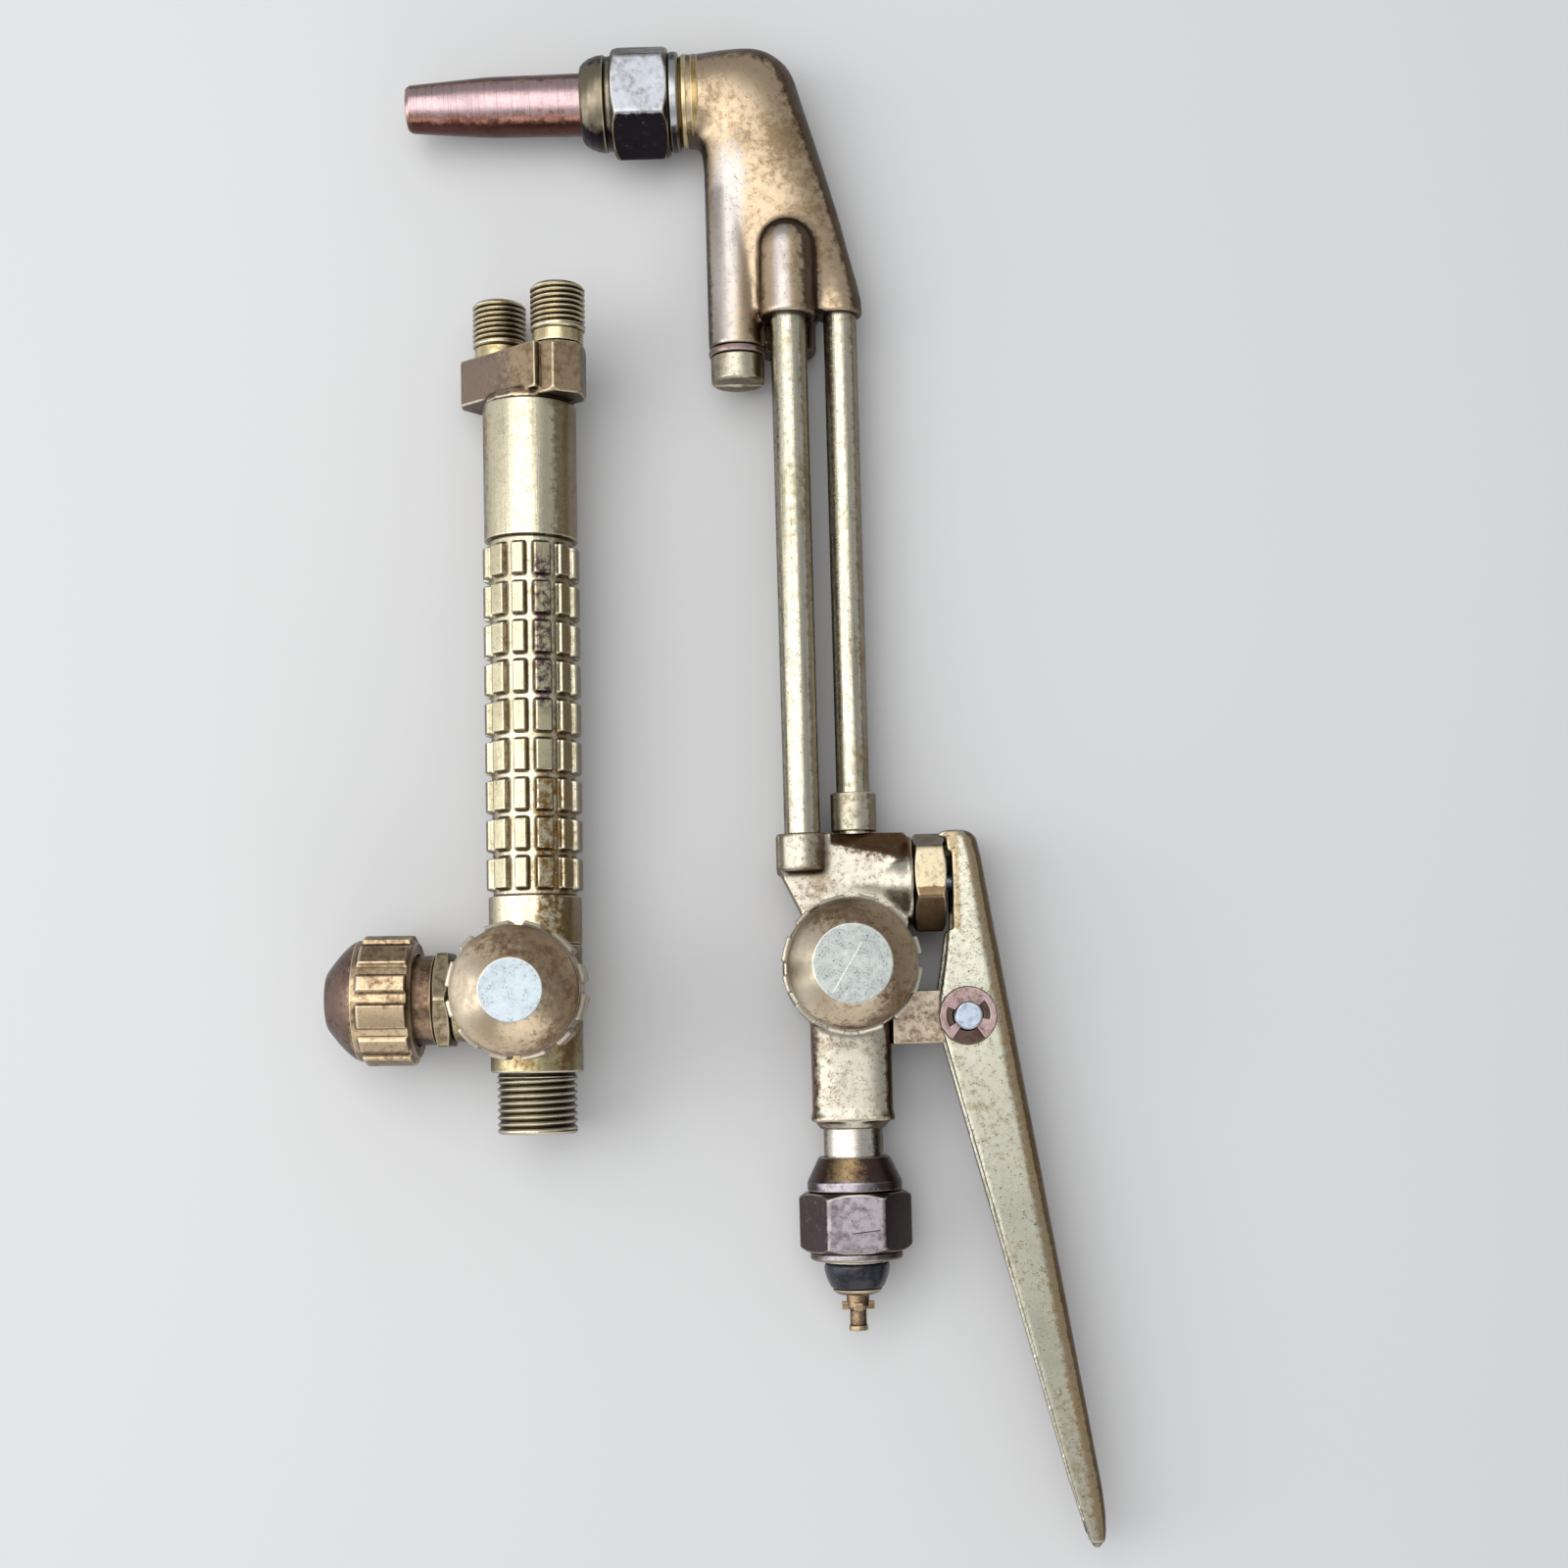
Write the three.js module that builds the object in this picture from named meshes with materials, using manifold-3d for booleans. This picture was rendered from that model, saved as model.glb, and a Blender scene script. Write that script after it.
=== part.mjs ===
// Oxy-fuel cutting torch in its two halves, unscrewed and laid side by side:
// the cutting attachment (head, tubes, valve body, lever) and the valve handle (knurled barrel).
// Millimetres, +Z up, resting on z = 0. The attachment lies along +Y with its head towards +Y.
import * as THREE from 'three';
import * as BufferGeometryUtils from 'three/addons/utils/BufferGeometryUtils.js';
import Module from 'manifold-3d';

const wasm = await Module();
wasm.setup();

// Shared fits and facet counts
const GAP = 0.3;
const COARSE = 8;
const MEDIUM = 12;
const FINE = 16;

// Where the two halves lie, from the middle of the footprint
const ATTACHMENT = { x: 36.9, y: -45.8, z: 13.1 };
const HANDLE = { x: -45.9, y: -51.8, z: 17.7, yawDegrees: -0.9 };

// Cutting tip and its nut, measured along the nozzle from the tube plane (x = 0)
const NOZZLE_Y = 231.7;
const TIP = { rear: 42.6, face: 111, bore: 1.2, preheatHoles: 6, preheatCircle: 3.4, preheatBore: 0.6 };
const TIP_NUT = { rear: 38.6, hexFrom: 41.4, hexTo: 56.2, front: 64.6, flats: 26.2, bore: 11 };

// Forged head
const HEAD = { collarR: 11.65, spigotR: 10.7, spigotEnd: 50.5 };
const MIXER_BARREL = { x: -25.1, r: 7.5, bottom: 165.3, top: 222, bore: 5.7 };

// Gas tubes: a stacked pair on the left and a single tube on the right
const TUBE_PAIR = { x: -11.4, z: 5.6, r: 4.75, wall: 1.1 };
const CUTTING_TUBE = { x: 2.4, r: 4.4, wall: 1.1 };

// Valve body of the attachment
const BODY = { top: 35.5, face: 8.8, discR: 17.6, discTop: 10.6, stemHalf: 10.7,
  stemEnd: 40.5, neckStart: 42.6 };
const CUTTING_VALVE = { y: 22.2, bossR: 12.3, bossFace: 17.4, flats: 23.6, turnDegrees: 11.6 };

// Tail and union nut, measured down from the preheat valve axis
const UNION = { coneFrom: 50, hexFrom: 59.4, hexTo: 75, end: 77.3, flats: 26.2, bore: 10.95 };
const TAIL = { neckR: 7.9, sealFrom: 78.4, sealTo: 84.9, noseEnd: 86.6, nippleEnd: 96.4 };

// Cutting lever, a channel open towards the body
const PIVOT = { x: 30.6, y: -13.5, pinR: 3.75, headR: 5.5 };
const LEVER = { half: 9.5, tipHalf: 6.5, wall: 2.2, edgeR: 4.5, top: 35.3, tip: -155.2 };

// Needle valves, measured outward from the underside of the bonnet hexagon
const VALVE = { flats: 24.6, hexHigh: 4.2, shankR: 7.7, shankDeep: 8.6, tipDeep: 15, spindleR: 3.6,
  neckR: 11.8, neckFrom: 4.5, neckTo: 11.9, knobFrom: 12.2 };
const KNOB = { blocks: 12, bumpHigh: 1.3, base: -2.9, bumpFrom: -1.8, bumpTo: 10.8, rimTo: 11.7,
  high: 20.8 };
const HANDLE_KNOB = { r: 17.3, domeR: 15.9, flatR: 7.75 };
const ATTACHMENT_KNOB = { r: 17.8, domeR: 16.5, flatR: 9.9 };

// Valve handle, measured along its axis from the side valve
const HOUSING = { from: -19.3, to: 14.1, r: 12.2, outletEnd: -35.5, outletR: 10.6,
  bossTop: 21.3, upValve: 1.5 };
const BARREL = { to: 155.8, r: 12.25, bore: 10, knurlFrom: 28.6, knurlR: 12.8, grooveR: 11,
  rings: 9, pitch: 10.2, ringLong: 8.2, knurlTurn: 5 };
const INLET = { from: 158, to: 170, slopeDegrees: 40, half: 8.6, centre: 11.15, hexFlats: 13.4,
  hexFacing: 65, nippleR: 7.15, nippleEnd: 185.5, tubeCentre: 5.2, tubeR: 3.5 };

// Metals and rubber
function metal(color, roughness) {
  return new THREE.MeshStandardMaterial({ color, roughness, metalness: 1 });
}
const COPPER = metal(0xb0705a, 0.35);
const BRONZE = metal(0x7a5c3c, 0.45);
const DARK_BRONZE = metal(0x4a3a33, 0.5);
const PALE_BRASS = metal(0xb9aa80, 0.35);
const BRASS = metal(0xc7a55a, 0.3);
const STEEL = metal(0x9aa4b0, 0.3);
const RUBBER = new THREE.MeshStandardMaterial({ color: 0x17171b, roughness: 0.7, metalness: 0 });
const PACKING = new THREE.MeshStandardMaterial({ color: 0xd8d4c4, roughness: 0.8, metalness: 0 });

// Position-only copy with shared vertices merged and collapsed triangles dropped
function weld(geometry) {
  const bare = new THREE.BufferGeometry();
  bare.setAttribute('position', geometry.getAttribute('position').clone());
  if (geometry.index) bare.setIndex(geometry.index.clone());
  const merged = BufferGeometryUtils.mergeVertices(bare, 1e-4);
  const corners = merged.index.array;
  const kept = [];
  for (let i = 0; i < corners.length; i += 3) {
    const [a, b, c] = corners.slice(i, i + 3);
    if (a !== b && b !== c && c !== a) kept.push(a, b, c);
  }
  merged.setIndex(kept);
  return merged;
}

function solid(geometry) {
  const merged = weld(geometry);
  const vertProperties = new Float32Array(merged.getAttribute('position').array);
  const triVerts = new Uint32Array(merged.index.array);
  return new wasm.Manifold(new wasm.Mesh({ numProp: 3, vertProperties, triVerts }));
}

function geometryOf(manifold) {
  const { vertProperties, triVerts } = manifold.getMesh();
  const geometry = new THREE.BufferGeometry();
  geometry.setAttribute('position', new THREE.BufferAttribute(new Float32Array(vertProperties), 3));
  geometry.setIndex(new THREE.BufferAttribute(new Uint32Array(triVerts), 1));
  return geometry;
}

function join(...parts) {
  return geometryOf(parts.map(solid).reduce((whole, part) => whole.add(part)));
}

function cut(base, ...tools) {
  return geometryOf(tools.map(solid).reduce((whole, tool) => whole.subtract(tool), solid(base)));
}

function overlap(one, other) {
  return geometryOf(solid(one).intersect(solid(other)));
}

// Turns a piece drawn along +Z to another axis
const AIM = {
  '+z': (geometry) => geometry,
  '+y': (geometry) => geometry.rotateX(-Math.PI / 2),
  '-y': (geometry) => geometry.rotateX(Math.PI / 2),
  '+x': (geometry) => geometry.rotateY(Math.PI / 2),
  '-x': (geometry) => geometry.rotateY(-Math.PI / 2),
};

// Revolves [radius, height] points about +Z; the row starts and ends on the axis or closes on itself
function revolve(profile, facets = MEDIUM) {
  const points = profile.map(([radius, height]) => new THREE.Vector2(radius, height));
  return new THREE.LatheGeometry(points, facets).rotateX(Math.PI / 2);
}

function ring(profile, facets = MEDIUM) {
  return revolve([...profile, profile[0]], facets);
}

function rod(r, from, to, facets = MEDIUM) {
  return revolve([[0, from], [r, from], [r, to], [0, to]], facets);
}

function sleeve(inner, outer, from, to, facets = MEDIUM) {
  return ring([[inner, from], [outer, from], [outer, to], [inner, to]], facets);
}

function box(x, y, z) {
  const size = [x, y, z].map(([low, high]) => high - low);
  const middle = [x, y, z].map(([low, high]) => (high + low) / 2);
  return new THREE.BoxGeometry(...size).translate(...middle);
}

// Hexagonal prism along +Z with a flat facing the given angle and its corners cut back at both ends
function hexagon(flats, from, to, angle = 0, chamfer = 1.1) {
  const cornerR = flats / Math.sqrt(3);
  const prism = new THREE.CylinderGeometry(cornerR, cornerR, to - from, 6)
    .rotateX(Math.PI / 2).rotateZ(angle + Math.PI).translate(0, 0, (from + to) / 2);
  const spread = 1 / Math.cos(Math.PI / 12);
  const faceR = (flats / 2 + 0.2) * spread;
  const clearR = (cornerR + 0.1) * spread;
  const envelope = revolve([[0, from], [faceR, from], [clearR, from + chamfer],
    [clearR, to - chamfer], [faceR, to], [0, to]], 12).rotateZ(angle + Math.PI / 12);
  return overlap(prism, envelope);
}

// Skins a row of stations, each an outline placed in space, and caps both ends
function loft(stations) {
  const count = stations[0].outline.length;
  const points = stations.flatMap(({ outline, place }) => outline.map((point) => place(point.x, point.y)));
  const faces = [];
  for (let row = 0; row + 1 < stations.length; row++) {
    for (let i = 0; i < count; i++) {
      const [a, b] = [row * count + i, row * count + (i + 1) % count];
      faces.push([a, b, b + count], [a, b + count, a + count]);
    }
  }
  const cap = (station, first, flip) => THREE.ShapeUtils.triangulateShape(station.outline, [])
    .forEach(([a, b, c]) => faces.push((flip ? [a, c, b] : [a, b, c]).map((corner) => first + corner)));
  const anticlockwise = THREE.ShapeUtils.area(stations[0].outline) > 0;
  cap(stations[0], 0, anticlockwise);
  cap(stations.at(-1), (stations.length - 1) * count, !anticlockwise);

  const volume = faces.reduce((sum, [a, b, c]) =>
    sum + points[a].dot(new THREE.Vector3().crossVectors(points[b], points[c])), 0);
  const outward = volume > 0 ? faces : faces.map(([a, b, c]) => [a, c, b]);
  const geometry = new THREE.BufferGeometry();
  geometry.setAttribute('position', new THREE.Float32BufferAttribute(points.flatMap((p) => p.toArray()), 3));
  geometry.setIndex(outward.flat());
  return geometry;
}

function polar(r, degrees, cx = 0, cy = 0) {
  const angle = THREE.MathUtils.degToRad(degrees);
  return new THREE.Vector2(cx + r * Math.cos(angle), cy + r * Math.sin(angle));
}

function arc(cx, cy, r, fromDegrees, toDegrees, steps) {
  return Array.from({ length: steps + 1 }, (_, i) =>
    polar(r, fromDegrees + (toDegrees - fromDegrees) * i / steps, cx, cy));
}

// Unit outline between an ellipse (power 2) and a rounded rectangle (higher powers)
function softRectangle(power, count = 20) {
  return Array.from({ length: count }, (_, i) => {
    const angle = 2 * Math.PI * (i + 0.5) / count;
    const bend = (value) => Math.sign(value) * Math.abs(value) ** (2 / power);
    return new THREE.Vector2(bend(Math.cos(angle)), bend(Math.sin(angle)));
  });
}

function mesh(name, geometry, material) {
  const piece = new THREE.Mesh(weld(geometry), material);
  piece.name = name;
  return piece;
}

function group(...pieces) {
  return new THREE.Group().add(...pieces);
}

// Copper cutting tip with its cutting bore and a ring of preheat holes, and the nut that holds it
function tipAssembly() {
  const body = ring([[TIP.bore, TIP.rear], [4.4, TIP.rear], [8.1, 50.9], [9.5, 50.9], [9.5, 54.2],
    [7.8, 56.2], [7.8, 65.5], [7.5, 89], [7.3, 92], [6, TIP.face - 1], [5.7, TIP.face], [TIP.bore, TIP.face]], FINE);
  const holes = Array.from({ length: TIP.preheatHoles }, (_, i) => {
    const angle = 2 * Math.PI * i / TIP.preheatHoles;
    return rod(TIP.preheatBore, TIP.face - 12, TIP.face + 1, 6)
      .translate(TIP.preheatCircle * Math.cos(angle), TIP.preheatCircle * Math.sin(angle), 0);
  });

  const shell = join(
    hexagon(TIP_NUT.flats, TIP_NUT.hexFrom, TIP_NUT.hexTo),
    revolve([[0, TIP_NUT.rear], [12, TIP_NUT.rear], [12.4, TIP_NUT.rear + 0.5], [12.4, TIP_NUT.hexFrom - 0.6],
      [11.9, TIP_NUT.hexFrom], [11.9, TIP_NUT.hexTo], [11.6, 57.8], [12.1, 58.4], [11.9, 60.2], [11.2, 62.3],
      [10.2, 63.9], [9.4, TIP_NUT.front], [0, TIP_NUT.front]], FINE),
  );
  const bore = revolve([[0, TIP_NUT.rear - 1], [TIP_NUT.bore, TIP_NUT.rear - 1], [TIP_NUT.bore, 51.2],
    [9.9, 51.2], [9.9, 54.4], [8.1, 56.4], [8.1, TIP_NUT.front + 1], [0, TIP_NUT.front + 1]], FINE);

  const assembly = group(
    mesh('cutting_tip', cut(body, ...holes), COPPER),
    mesh('tip_nut', cut(shell, bore), DARK_BRONZE),
  );
  assembly.position.set(0, NOZZLE_Y, 0);
  assembly.rotation.y = -Math.PI / 2;
  return assembly;
}

// Forged elbow: a round collar that turns down into a flattened neck with four tube and mixer bosses
function headShell() {
  const stations = [
    { inner: [-34.4, 220.1], outer: [-34.4, 243.3], half: 11.6, power: 2 },
    { inner: [-33.9, 219.6], outer: [-26, 244.2], half: 11.6, power: 2.1 },
    { inner: [-33.5, 218.9], outer: [-18, 244.2], half: 11.4, power: 2.2 },
    { inner: [-33.2, 218], outer: [-12.6, 242], half: 11.2, power: 2.2 },
    { inner: [-33, 217], outer: [-8.6, 237.4], half: 11, power: 2.3 },
    { inner: [-32.7, 214.5], outer: [-5.5, 227.6], half: 10.3, power: 2.4 },
    { inner: [-32.5, 208], outer: [-0.6, 211.5], half: 9, power: 2.5 },
    { inner: [-32.5, 198], outer: [3.2, 198], half: 7.8, power: 2.5 },
    { inner: [-32.5, 186], outer: [5.9, 186], half: 6.8, power: 2.4 },
    { inner: [-32.5, 173.9], outer: [8, 173.9], half: 6.3, power: 2.4 },
  ].map(({ inner, outer, half, power }) => {
    const start = new THREE.Vector3(...inner, 0);
    const end = new THREE.Vector3(...outer, 0);
    const middle = start.clone().add(end).divideScalar(2);
    const reach = end.clone().sub(start).divideScalar(2);
    return {
      outline: softRectangle(power),
      place: (u, v) => middle.clone().addScaledVector(reach, u).setZ(half * v),
    };
  });
  const collar = AIM['-x'](revolve([[0, 34], [HEAD.collarR, 34], [HEAD.collarR, 37.4], [11.2, 37.9],
    [HEAD.spigotR, 37.9], [HEAD.spigotR, HEAD.spigotEnd], [0, HEAD.spigotEnd]], FINE))
    .translate(0, NOZZLE_Y, 0);
  const boss = (x, z, r, bottom, rows) => AIM['+y'](revolve([[0, bottom], [r - 0.6, bottom],
    [r, bottom + 0.8], ...rows, [0, rows.at(-1)[1] + 1]])).translate(x, 0, z);
  const domed = (r, from) => [[r, from], [0.87 * r, from + 0.5 * r], [0.5 * r, from + 0.87 * r]];
  const faired = [[6.2, 178], [5.2, 182.5], [3.4, 189.5], [1.2, 199]];
  const barrel = AIM['+y'](rod(MIXER_BARREL.r, MIXER_BARREL.bottom, MIXER_BARREL.top))
    .translate(MIXER_BARREL.x, 0, 0);
  return join(
    loft(stations), collar, barrel,
    boss(TUBE_PAIR.x, TUBE_PAIR.z, 7.4, 171.5, domed(7.4, 190)),
    boss(TUBE_PAIR.x, -TUBE_PAIR.z, 7.4, 165, domed(7.4, 190)),
    boss(CUTTING_TUBE.x - 0.5, 0, 6.5, 173.2, faired),
  );
}

function headAssembly() {
  const socket = AIM['-x'](revolve([[0, 42.3], [4.7, 42.3], [8.45, 50.6], [8.45, 51], [0, 51]], FINE))
    .translate(0, NOZZLE_Y, 0);
  const mixerBore = AIM['+y'](revolve([[0, 160], [MIXER_BARREL.bore, 160], [MIXER_BARREL.bore, 207],
    [3, 211], [0, 211]])).translate(MIXER_BARREL.x, 0, 0);
  const pairSocket = (z) => AIM['+y'](rod(TUBE_PAIR.r + GAP, 160, 182)).translate(TUBE_PAIR.x, 0, z);
  const cuttingSocket = AIM['+y'](rod(CUTTING_TUBE.r + GAP, 160, 184)).translate(CUTTING_TUBE.x, 0, 0);

  const mixer = ring([[1.5, 174], [5.3, 174], [5.3, 182], [3.6, 184], [3.6, 192], [5.3, 194], [5.3, 204],
    [3, 206.5], [1.5, 206.5]], COARSE);
  const gasket = sleeve(5.9, 7.5, 163.3, 165);
  const plug = cut(
    revolve([[0, 156], [6.5, 156], [7.1, 156.6], [7.1, 163], [5.3, 163], [5.3, 173.6], [0, 173.6]]),
    box([-9, 9], [-0.8, 0.8], [155, 158]),
  );

  const internals = group(
    mesh('mixer', mixer, BRASS),
    mesh('mixer_plug_gasket', gasket, COPPER),
    mesh('mixer_plug', plug, PALE_BRASS),
  );
  internals.position.x = MIXER_BARREL.x;
  internals.rotation.x = -Math.PI / 2;
  return group(
    mesh('torch_head', cut(headShell(), socket, mixerBore, pairSocket(TUBE_PAIR.z), pairSocket(-TUBE_PAIR.z),
      cuttingSocket), BRONZE),
    internals,
  );
}

// Three brass tubes between the head and the valve body, the right one with a brazed ferrule
function tubes() {
  const pipe = (name, { r, wall }, from, to, x, z) => {
    const piece = mesh(name, sleeve(r - wall, r, from, to), PALE_BRASS);
    piece.position.set(x, 0, z);
    piece.rotation.x = -Math.PI / 2;
    return piece;
  };
  const ferrule = mesh('cutting_tube_ferrule', sleeve(CUTTING_TUBE.r + GAP, 6.05, 36.2, 46.4), PALE_BRASS);
  ferrule.position.x = CUTTING_TUBE.x;
  ferrule.rotation.x = -Math.PI / 2;
  return group(
    pipe('preheat_oxygen_tube', TUBE_PAIR, 28.4, 181.6, TUBE_PAIR.x, TUBE_PAIR.z),
    pipe('fuel_gas_tube', TUBE_PAIR, 28.4, 181.6, TUBE_PAIR.x, -TUBE_PAIR.z),
    pipe('cutting_oxygen_tube', CUTTING_TUBE, 28.4, 183.6, CUTTING_TUBE.x, 0),
    ferrule,
  );
}

// Bore that takes a bonnet shank and, below it, the needle and its seat, from the hexagon's underside
function needleCavity(passage) {
  const { shankR, shankDeep, tipDeep } = VALVE;
  return revolve([[0, -tipDeep - passage], [1.3, -tipDeep - passage], [1.3, -tipDeep - GAP],
    [4.2, -tipDeep + 3.6], [4.2, -shankDeep - GAP], [shankR + GAP, -shankDeep - GAP], [shankR + GAP, 1], [0, 1]], COARSE);
}

// Bonnet, packing, gland, spindle and knob of a needle valve, drawn outward along +Z
function needleValve(name, knob) {
  const { spindleR, shankR, shankDeep, tipDeep, hexHigh, neckR, neckFrom, neckTo, knobFrom } = VALVE;
  const clear = spindleR + GAP;
  const bonnet = cut(
    join(hexagon(VALVE.flats, 0, hexHigh, Math.PI / 6, 0.8), rod(shankR, -shankDeep, 0.5, COARSE),
      rod(8, hexHigh - 0.5, 7)),
    rod(clear, -shankDeep - 1, 8, COARSE),
  );
  const packing = sleeve(clear, 7.9, 7.3, 9.4);
  const gland = ring([[8.3, neckFrom], [neckR, neckFrom], [neckR, neckTo - 0.6], [neckR - 0.6, neckTo],
    [clear, neckTo], [clear, 9.7], [8.3, 9.7]]);
  const spindle = revolve([[0, -tipDeep], [0.9, -tipDeep], [spindleR, -tipDeep + 4], [spindleR, 14],
    [2.8, 14.5], [2.8, 27], [0, 27]], COARSE);
  const handwheel = mesh(`${name}_knob`, knobShell(knob), BRONZE);
  handwheel.position.z = knobFrom;
  return group(
    mesh(`${name}_bonnet`, bonnet, BRASS),
    mesh(`${name}_packing`, packing, PACKING),
    mesh(`${name}_gland`, gland, BRONZE),
    mesh(`${name}_spindle`, spindle, STEEL),
    handwheel,
  );
}

// Domed knob with twelve raised grip blocks, wide and narrow by turns
function knobShell({ r, domeR, flatR }) {
  const { blocks, bumpHigh, base, bumpFrom, bumpTo, rimTo, high } = KNOB;
  const drumR = r - bumpHigh;
  const doming = (share) => flatR + (domeR - flatR) * Math.cos(share * Math.PI / 2);
  const rise = (share) => rimTo + (high - rimTo) * Math.sin(share * Math.PI / 2);
  const dome = [0, 0.35, 0.7].map((share) => [doming(share), rise(share)]);
  const drum = revolve([[0, base], [drumR - 0.9, base], [drumR, bumpFrom], [drumR, bumpTo],
    ...dome, [flatR, high], [0, high]], MEDIUM);
  const outline = new THREE.Shape(Array.from({ length: blocks }, (_, i) => {
    const middle = (i + 0.5) * 360 / blocks;
    const half = i % 2 ? 11 : 7.5;
    const gap = 0.6;
    return [
      polar(drumR - 0.8, middle - half - gap),
      ...arc(0, 0, r, middle - half, middle + half, i % 2 ? 2 : 1),
      polar(drumR - 0.8, middle + half + gap),
    ];
  }).flat());
  const grip = new THREE.ExtrudeGeometry(outline, { depth: bumpTo - bumpFrom, bevelEnabled: false })
    .translate(0, 0, bumpFrom);
  const socket = revolve([[0, -1], [VALVE.spindleR + GAP, -1], [VALVE.spindleR + GAP, 2.2], [3.1, 2.8],
    [3.1, 15.1], [0, 15.1]], COARSE);
  const recess = rod(VALVE.neckR + 0.5, base - 1, 0);
  return cut(join(drum, grip), recess, socket);
}

// Forged valve body: a flat plate with tube bosses, a side boss for the cutting valve and a square stem
function bodyShell() {
  const plate = new THREE.ExtrudeGeometry(new THREE.Shape([
    [-17.5, 34.7], [15, 34.7], [15, 10], [6, 0], [-11, 2], [-11.6, 15], [-15.8, 23.4], [-17.5, 27],
  ].map(([x, y]) => new THREE.Vector2(x, y))), {
    depth: 2 * (BODY.face - 0.9), bevelThickness: 0.9, bevelSize: 0.8, bevelSegments: 1,
  }).translate(0, 0, -BODY.face + 0.9);
  const disc = revolve([[0, -BODY.face], [BODY.discR - 1, -BODY.face], [BODY.discR, -BODY.face + 1],
    [BODY.discR, BODY.discTop - 0.6], [BODY.discR - 0.6, BODY.discTop], [0, BODY.discTop]], FINE);
  const sideBoss = AIM['+x'](revolve([[0, 0], [9, 0], [9.2, 9], [10.6, 13], [CUTTING_VALVE.bossR, 16],
    [CUTTING_VALVE.bossR, CUTTING_VALVE.bossFace], [0, CUTTING_VALVE.bossFace]], FINE))
    .translate(0, CUTTING_VALVE.y, 0);
  const tubeBoss = (z) => AIM['+y'](revolve([[0, 25.4], [6.4, 25.4], [6.9, 25.9], [6.9, BODY.top - 0.5],
    [6.4, BODY.top], [0, BODY.top]])).translate(TUBE_PAIR.x - 0.2, 0, z);
  const stem = AIM['-y'](loft([
    { y: 4, half: BODY.stemHalf },
    { y: 38.6, half: BODY.stemHalf },
    { y: 39.4, half: BODY.stemHalf + 0.5 },
    { y: BODY.stemEnd, half: BODY.stemHalf + 0.4 },
  ].map(({ y, half }) => ({
    outline: softRectangle(4.5),
    place: (u, v) => new THREE.Vector3(half * u, (half - 1) * v, y),
  }))));
  const stemEnd = AIM['-y'](revolve([[0, 38], [10, 38], [10, BODY.stemEnd], [8.7, BODY.neckStart],
    [0, BODY.neckStart]]));
  const shoulder = (side) => loft([-4, 19].map((x) => ({
    outline: [[31.5 - (x + 4) * 0.22, 9.4], [38, 9.4], [38, 1.5]].map(([y, z]) => new THREE.Vector2(y, z)),
    place: (y, z) => new THREE.Vector3(x, y, side * z),
  })));
  return cut(join(cut(plate, shoulder(1), shoulder(-1)), disc, sideBoss, tubeBoss(TUBE_PAIR.z),
    tubeBoss(-TUBE_PAIR.z), stem, stemEnd), ...bodyBores());
}

function bodyBores() {
  const pairSocket = (z) => AIM['+y'](rod(TUBE_PAIR.r + GAP, 28.1, 37)).translate(TUBE_PAIR.x, 0, z);
  const cuttingSocket = AIM['+y'](rod(CUTTING_TUBE.r + GAP, 28.1, 37)).translate(CUTTING_TUBE.x, 0, 0);
  const cuttingBore = AIM['+x'](revolve([[0, -5], [1.6, -5], [1.6, -2.8], [5.5, -2.8], [5.5, 7.2], [9, 7.2],
    [9, 20], [0, 20]])).translate(0, CUTTING_VALVE.y, 0);
  const needleBore = needleCavity(2).translate(0, 0, BODY.discTop);
  const tailBore = AIM['-y'](rod(TAIL.neckR + GAP, 33, 44));
  return [pairSocket(TUBE_PAIR.z), pairSocket(-TUBE_PAIR.z), cuttingSocket, cuttingBore, needleBore, tailBore];
}

// Pull-to-open cutting valve: gland nut, packing, stem with its caught head, closing spring and seat
function cuttingValve() {
  const { flats, turnDegrees, bossFace } = CUTTING_VALVE;
  const stemR = 2.2;
  const turn = Math.PI - THREE.MathUtils.degToRad(turnDegrees);
  const nut = cut(
    join(hexagon(flats, bossFace + GAP, 25.9, turn, 1), rod(8.7, 12.4, bossFace + 1)),
    revolve([[0, 11], [6.9, 11], [6.9, 17.6], [4.6, 17.6], [4.6, 21.6], [stemR + GAP, 21.6],
      [stemR + GAP, 27], [0, 27]]),
  );
  const packing = sleeve(stemR + GAP, 4.3, 17.9, 21.3, COARSE);
  const seat = ring([[1.6, -2.5], [5.2, -2.5], [5.2, -0.6], [2.6, -0.6]], COARSE);
  const stem = revolve([[0, -1.6], [1.2, -1.6], [4.6, 1.4], [4.6, 3.4], [stemR, 3.4], [stemR, 30.6],
    [4.4, 30.6], [4.6, 31], [4.6, 32.6], [3.8, 33.2], [0, 33.2]], COARSE);
  const assembly = group(
    mesh('cutting_gland_nut', nut, BRASS),
    mesh('cutting_valve_packing', packing, PACKING),
    mesh('cutting_valve_seat', seat, PACKING),
    mesh('cutting_valve_stem', stem, STEEL),
    mesh('cutting_valve_spring', springShell(), STEEL),
  );
  assembly.position.y = CUTTING_VALVE.y;
  assembly.rotation.y = Math.PI / 2;
  return assembly;
}

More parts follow.
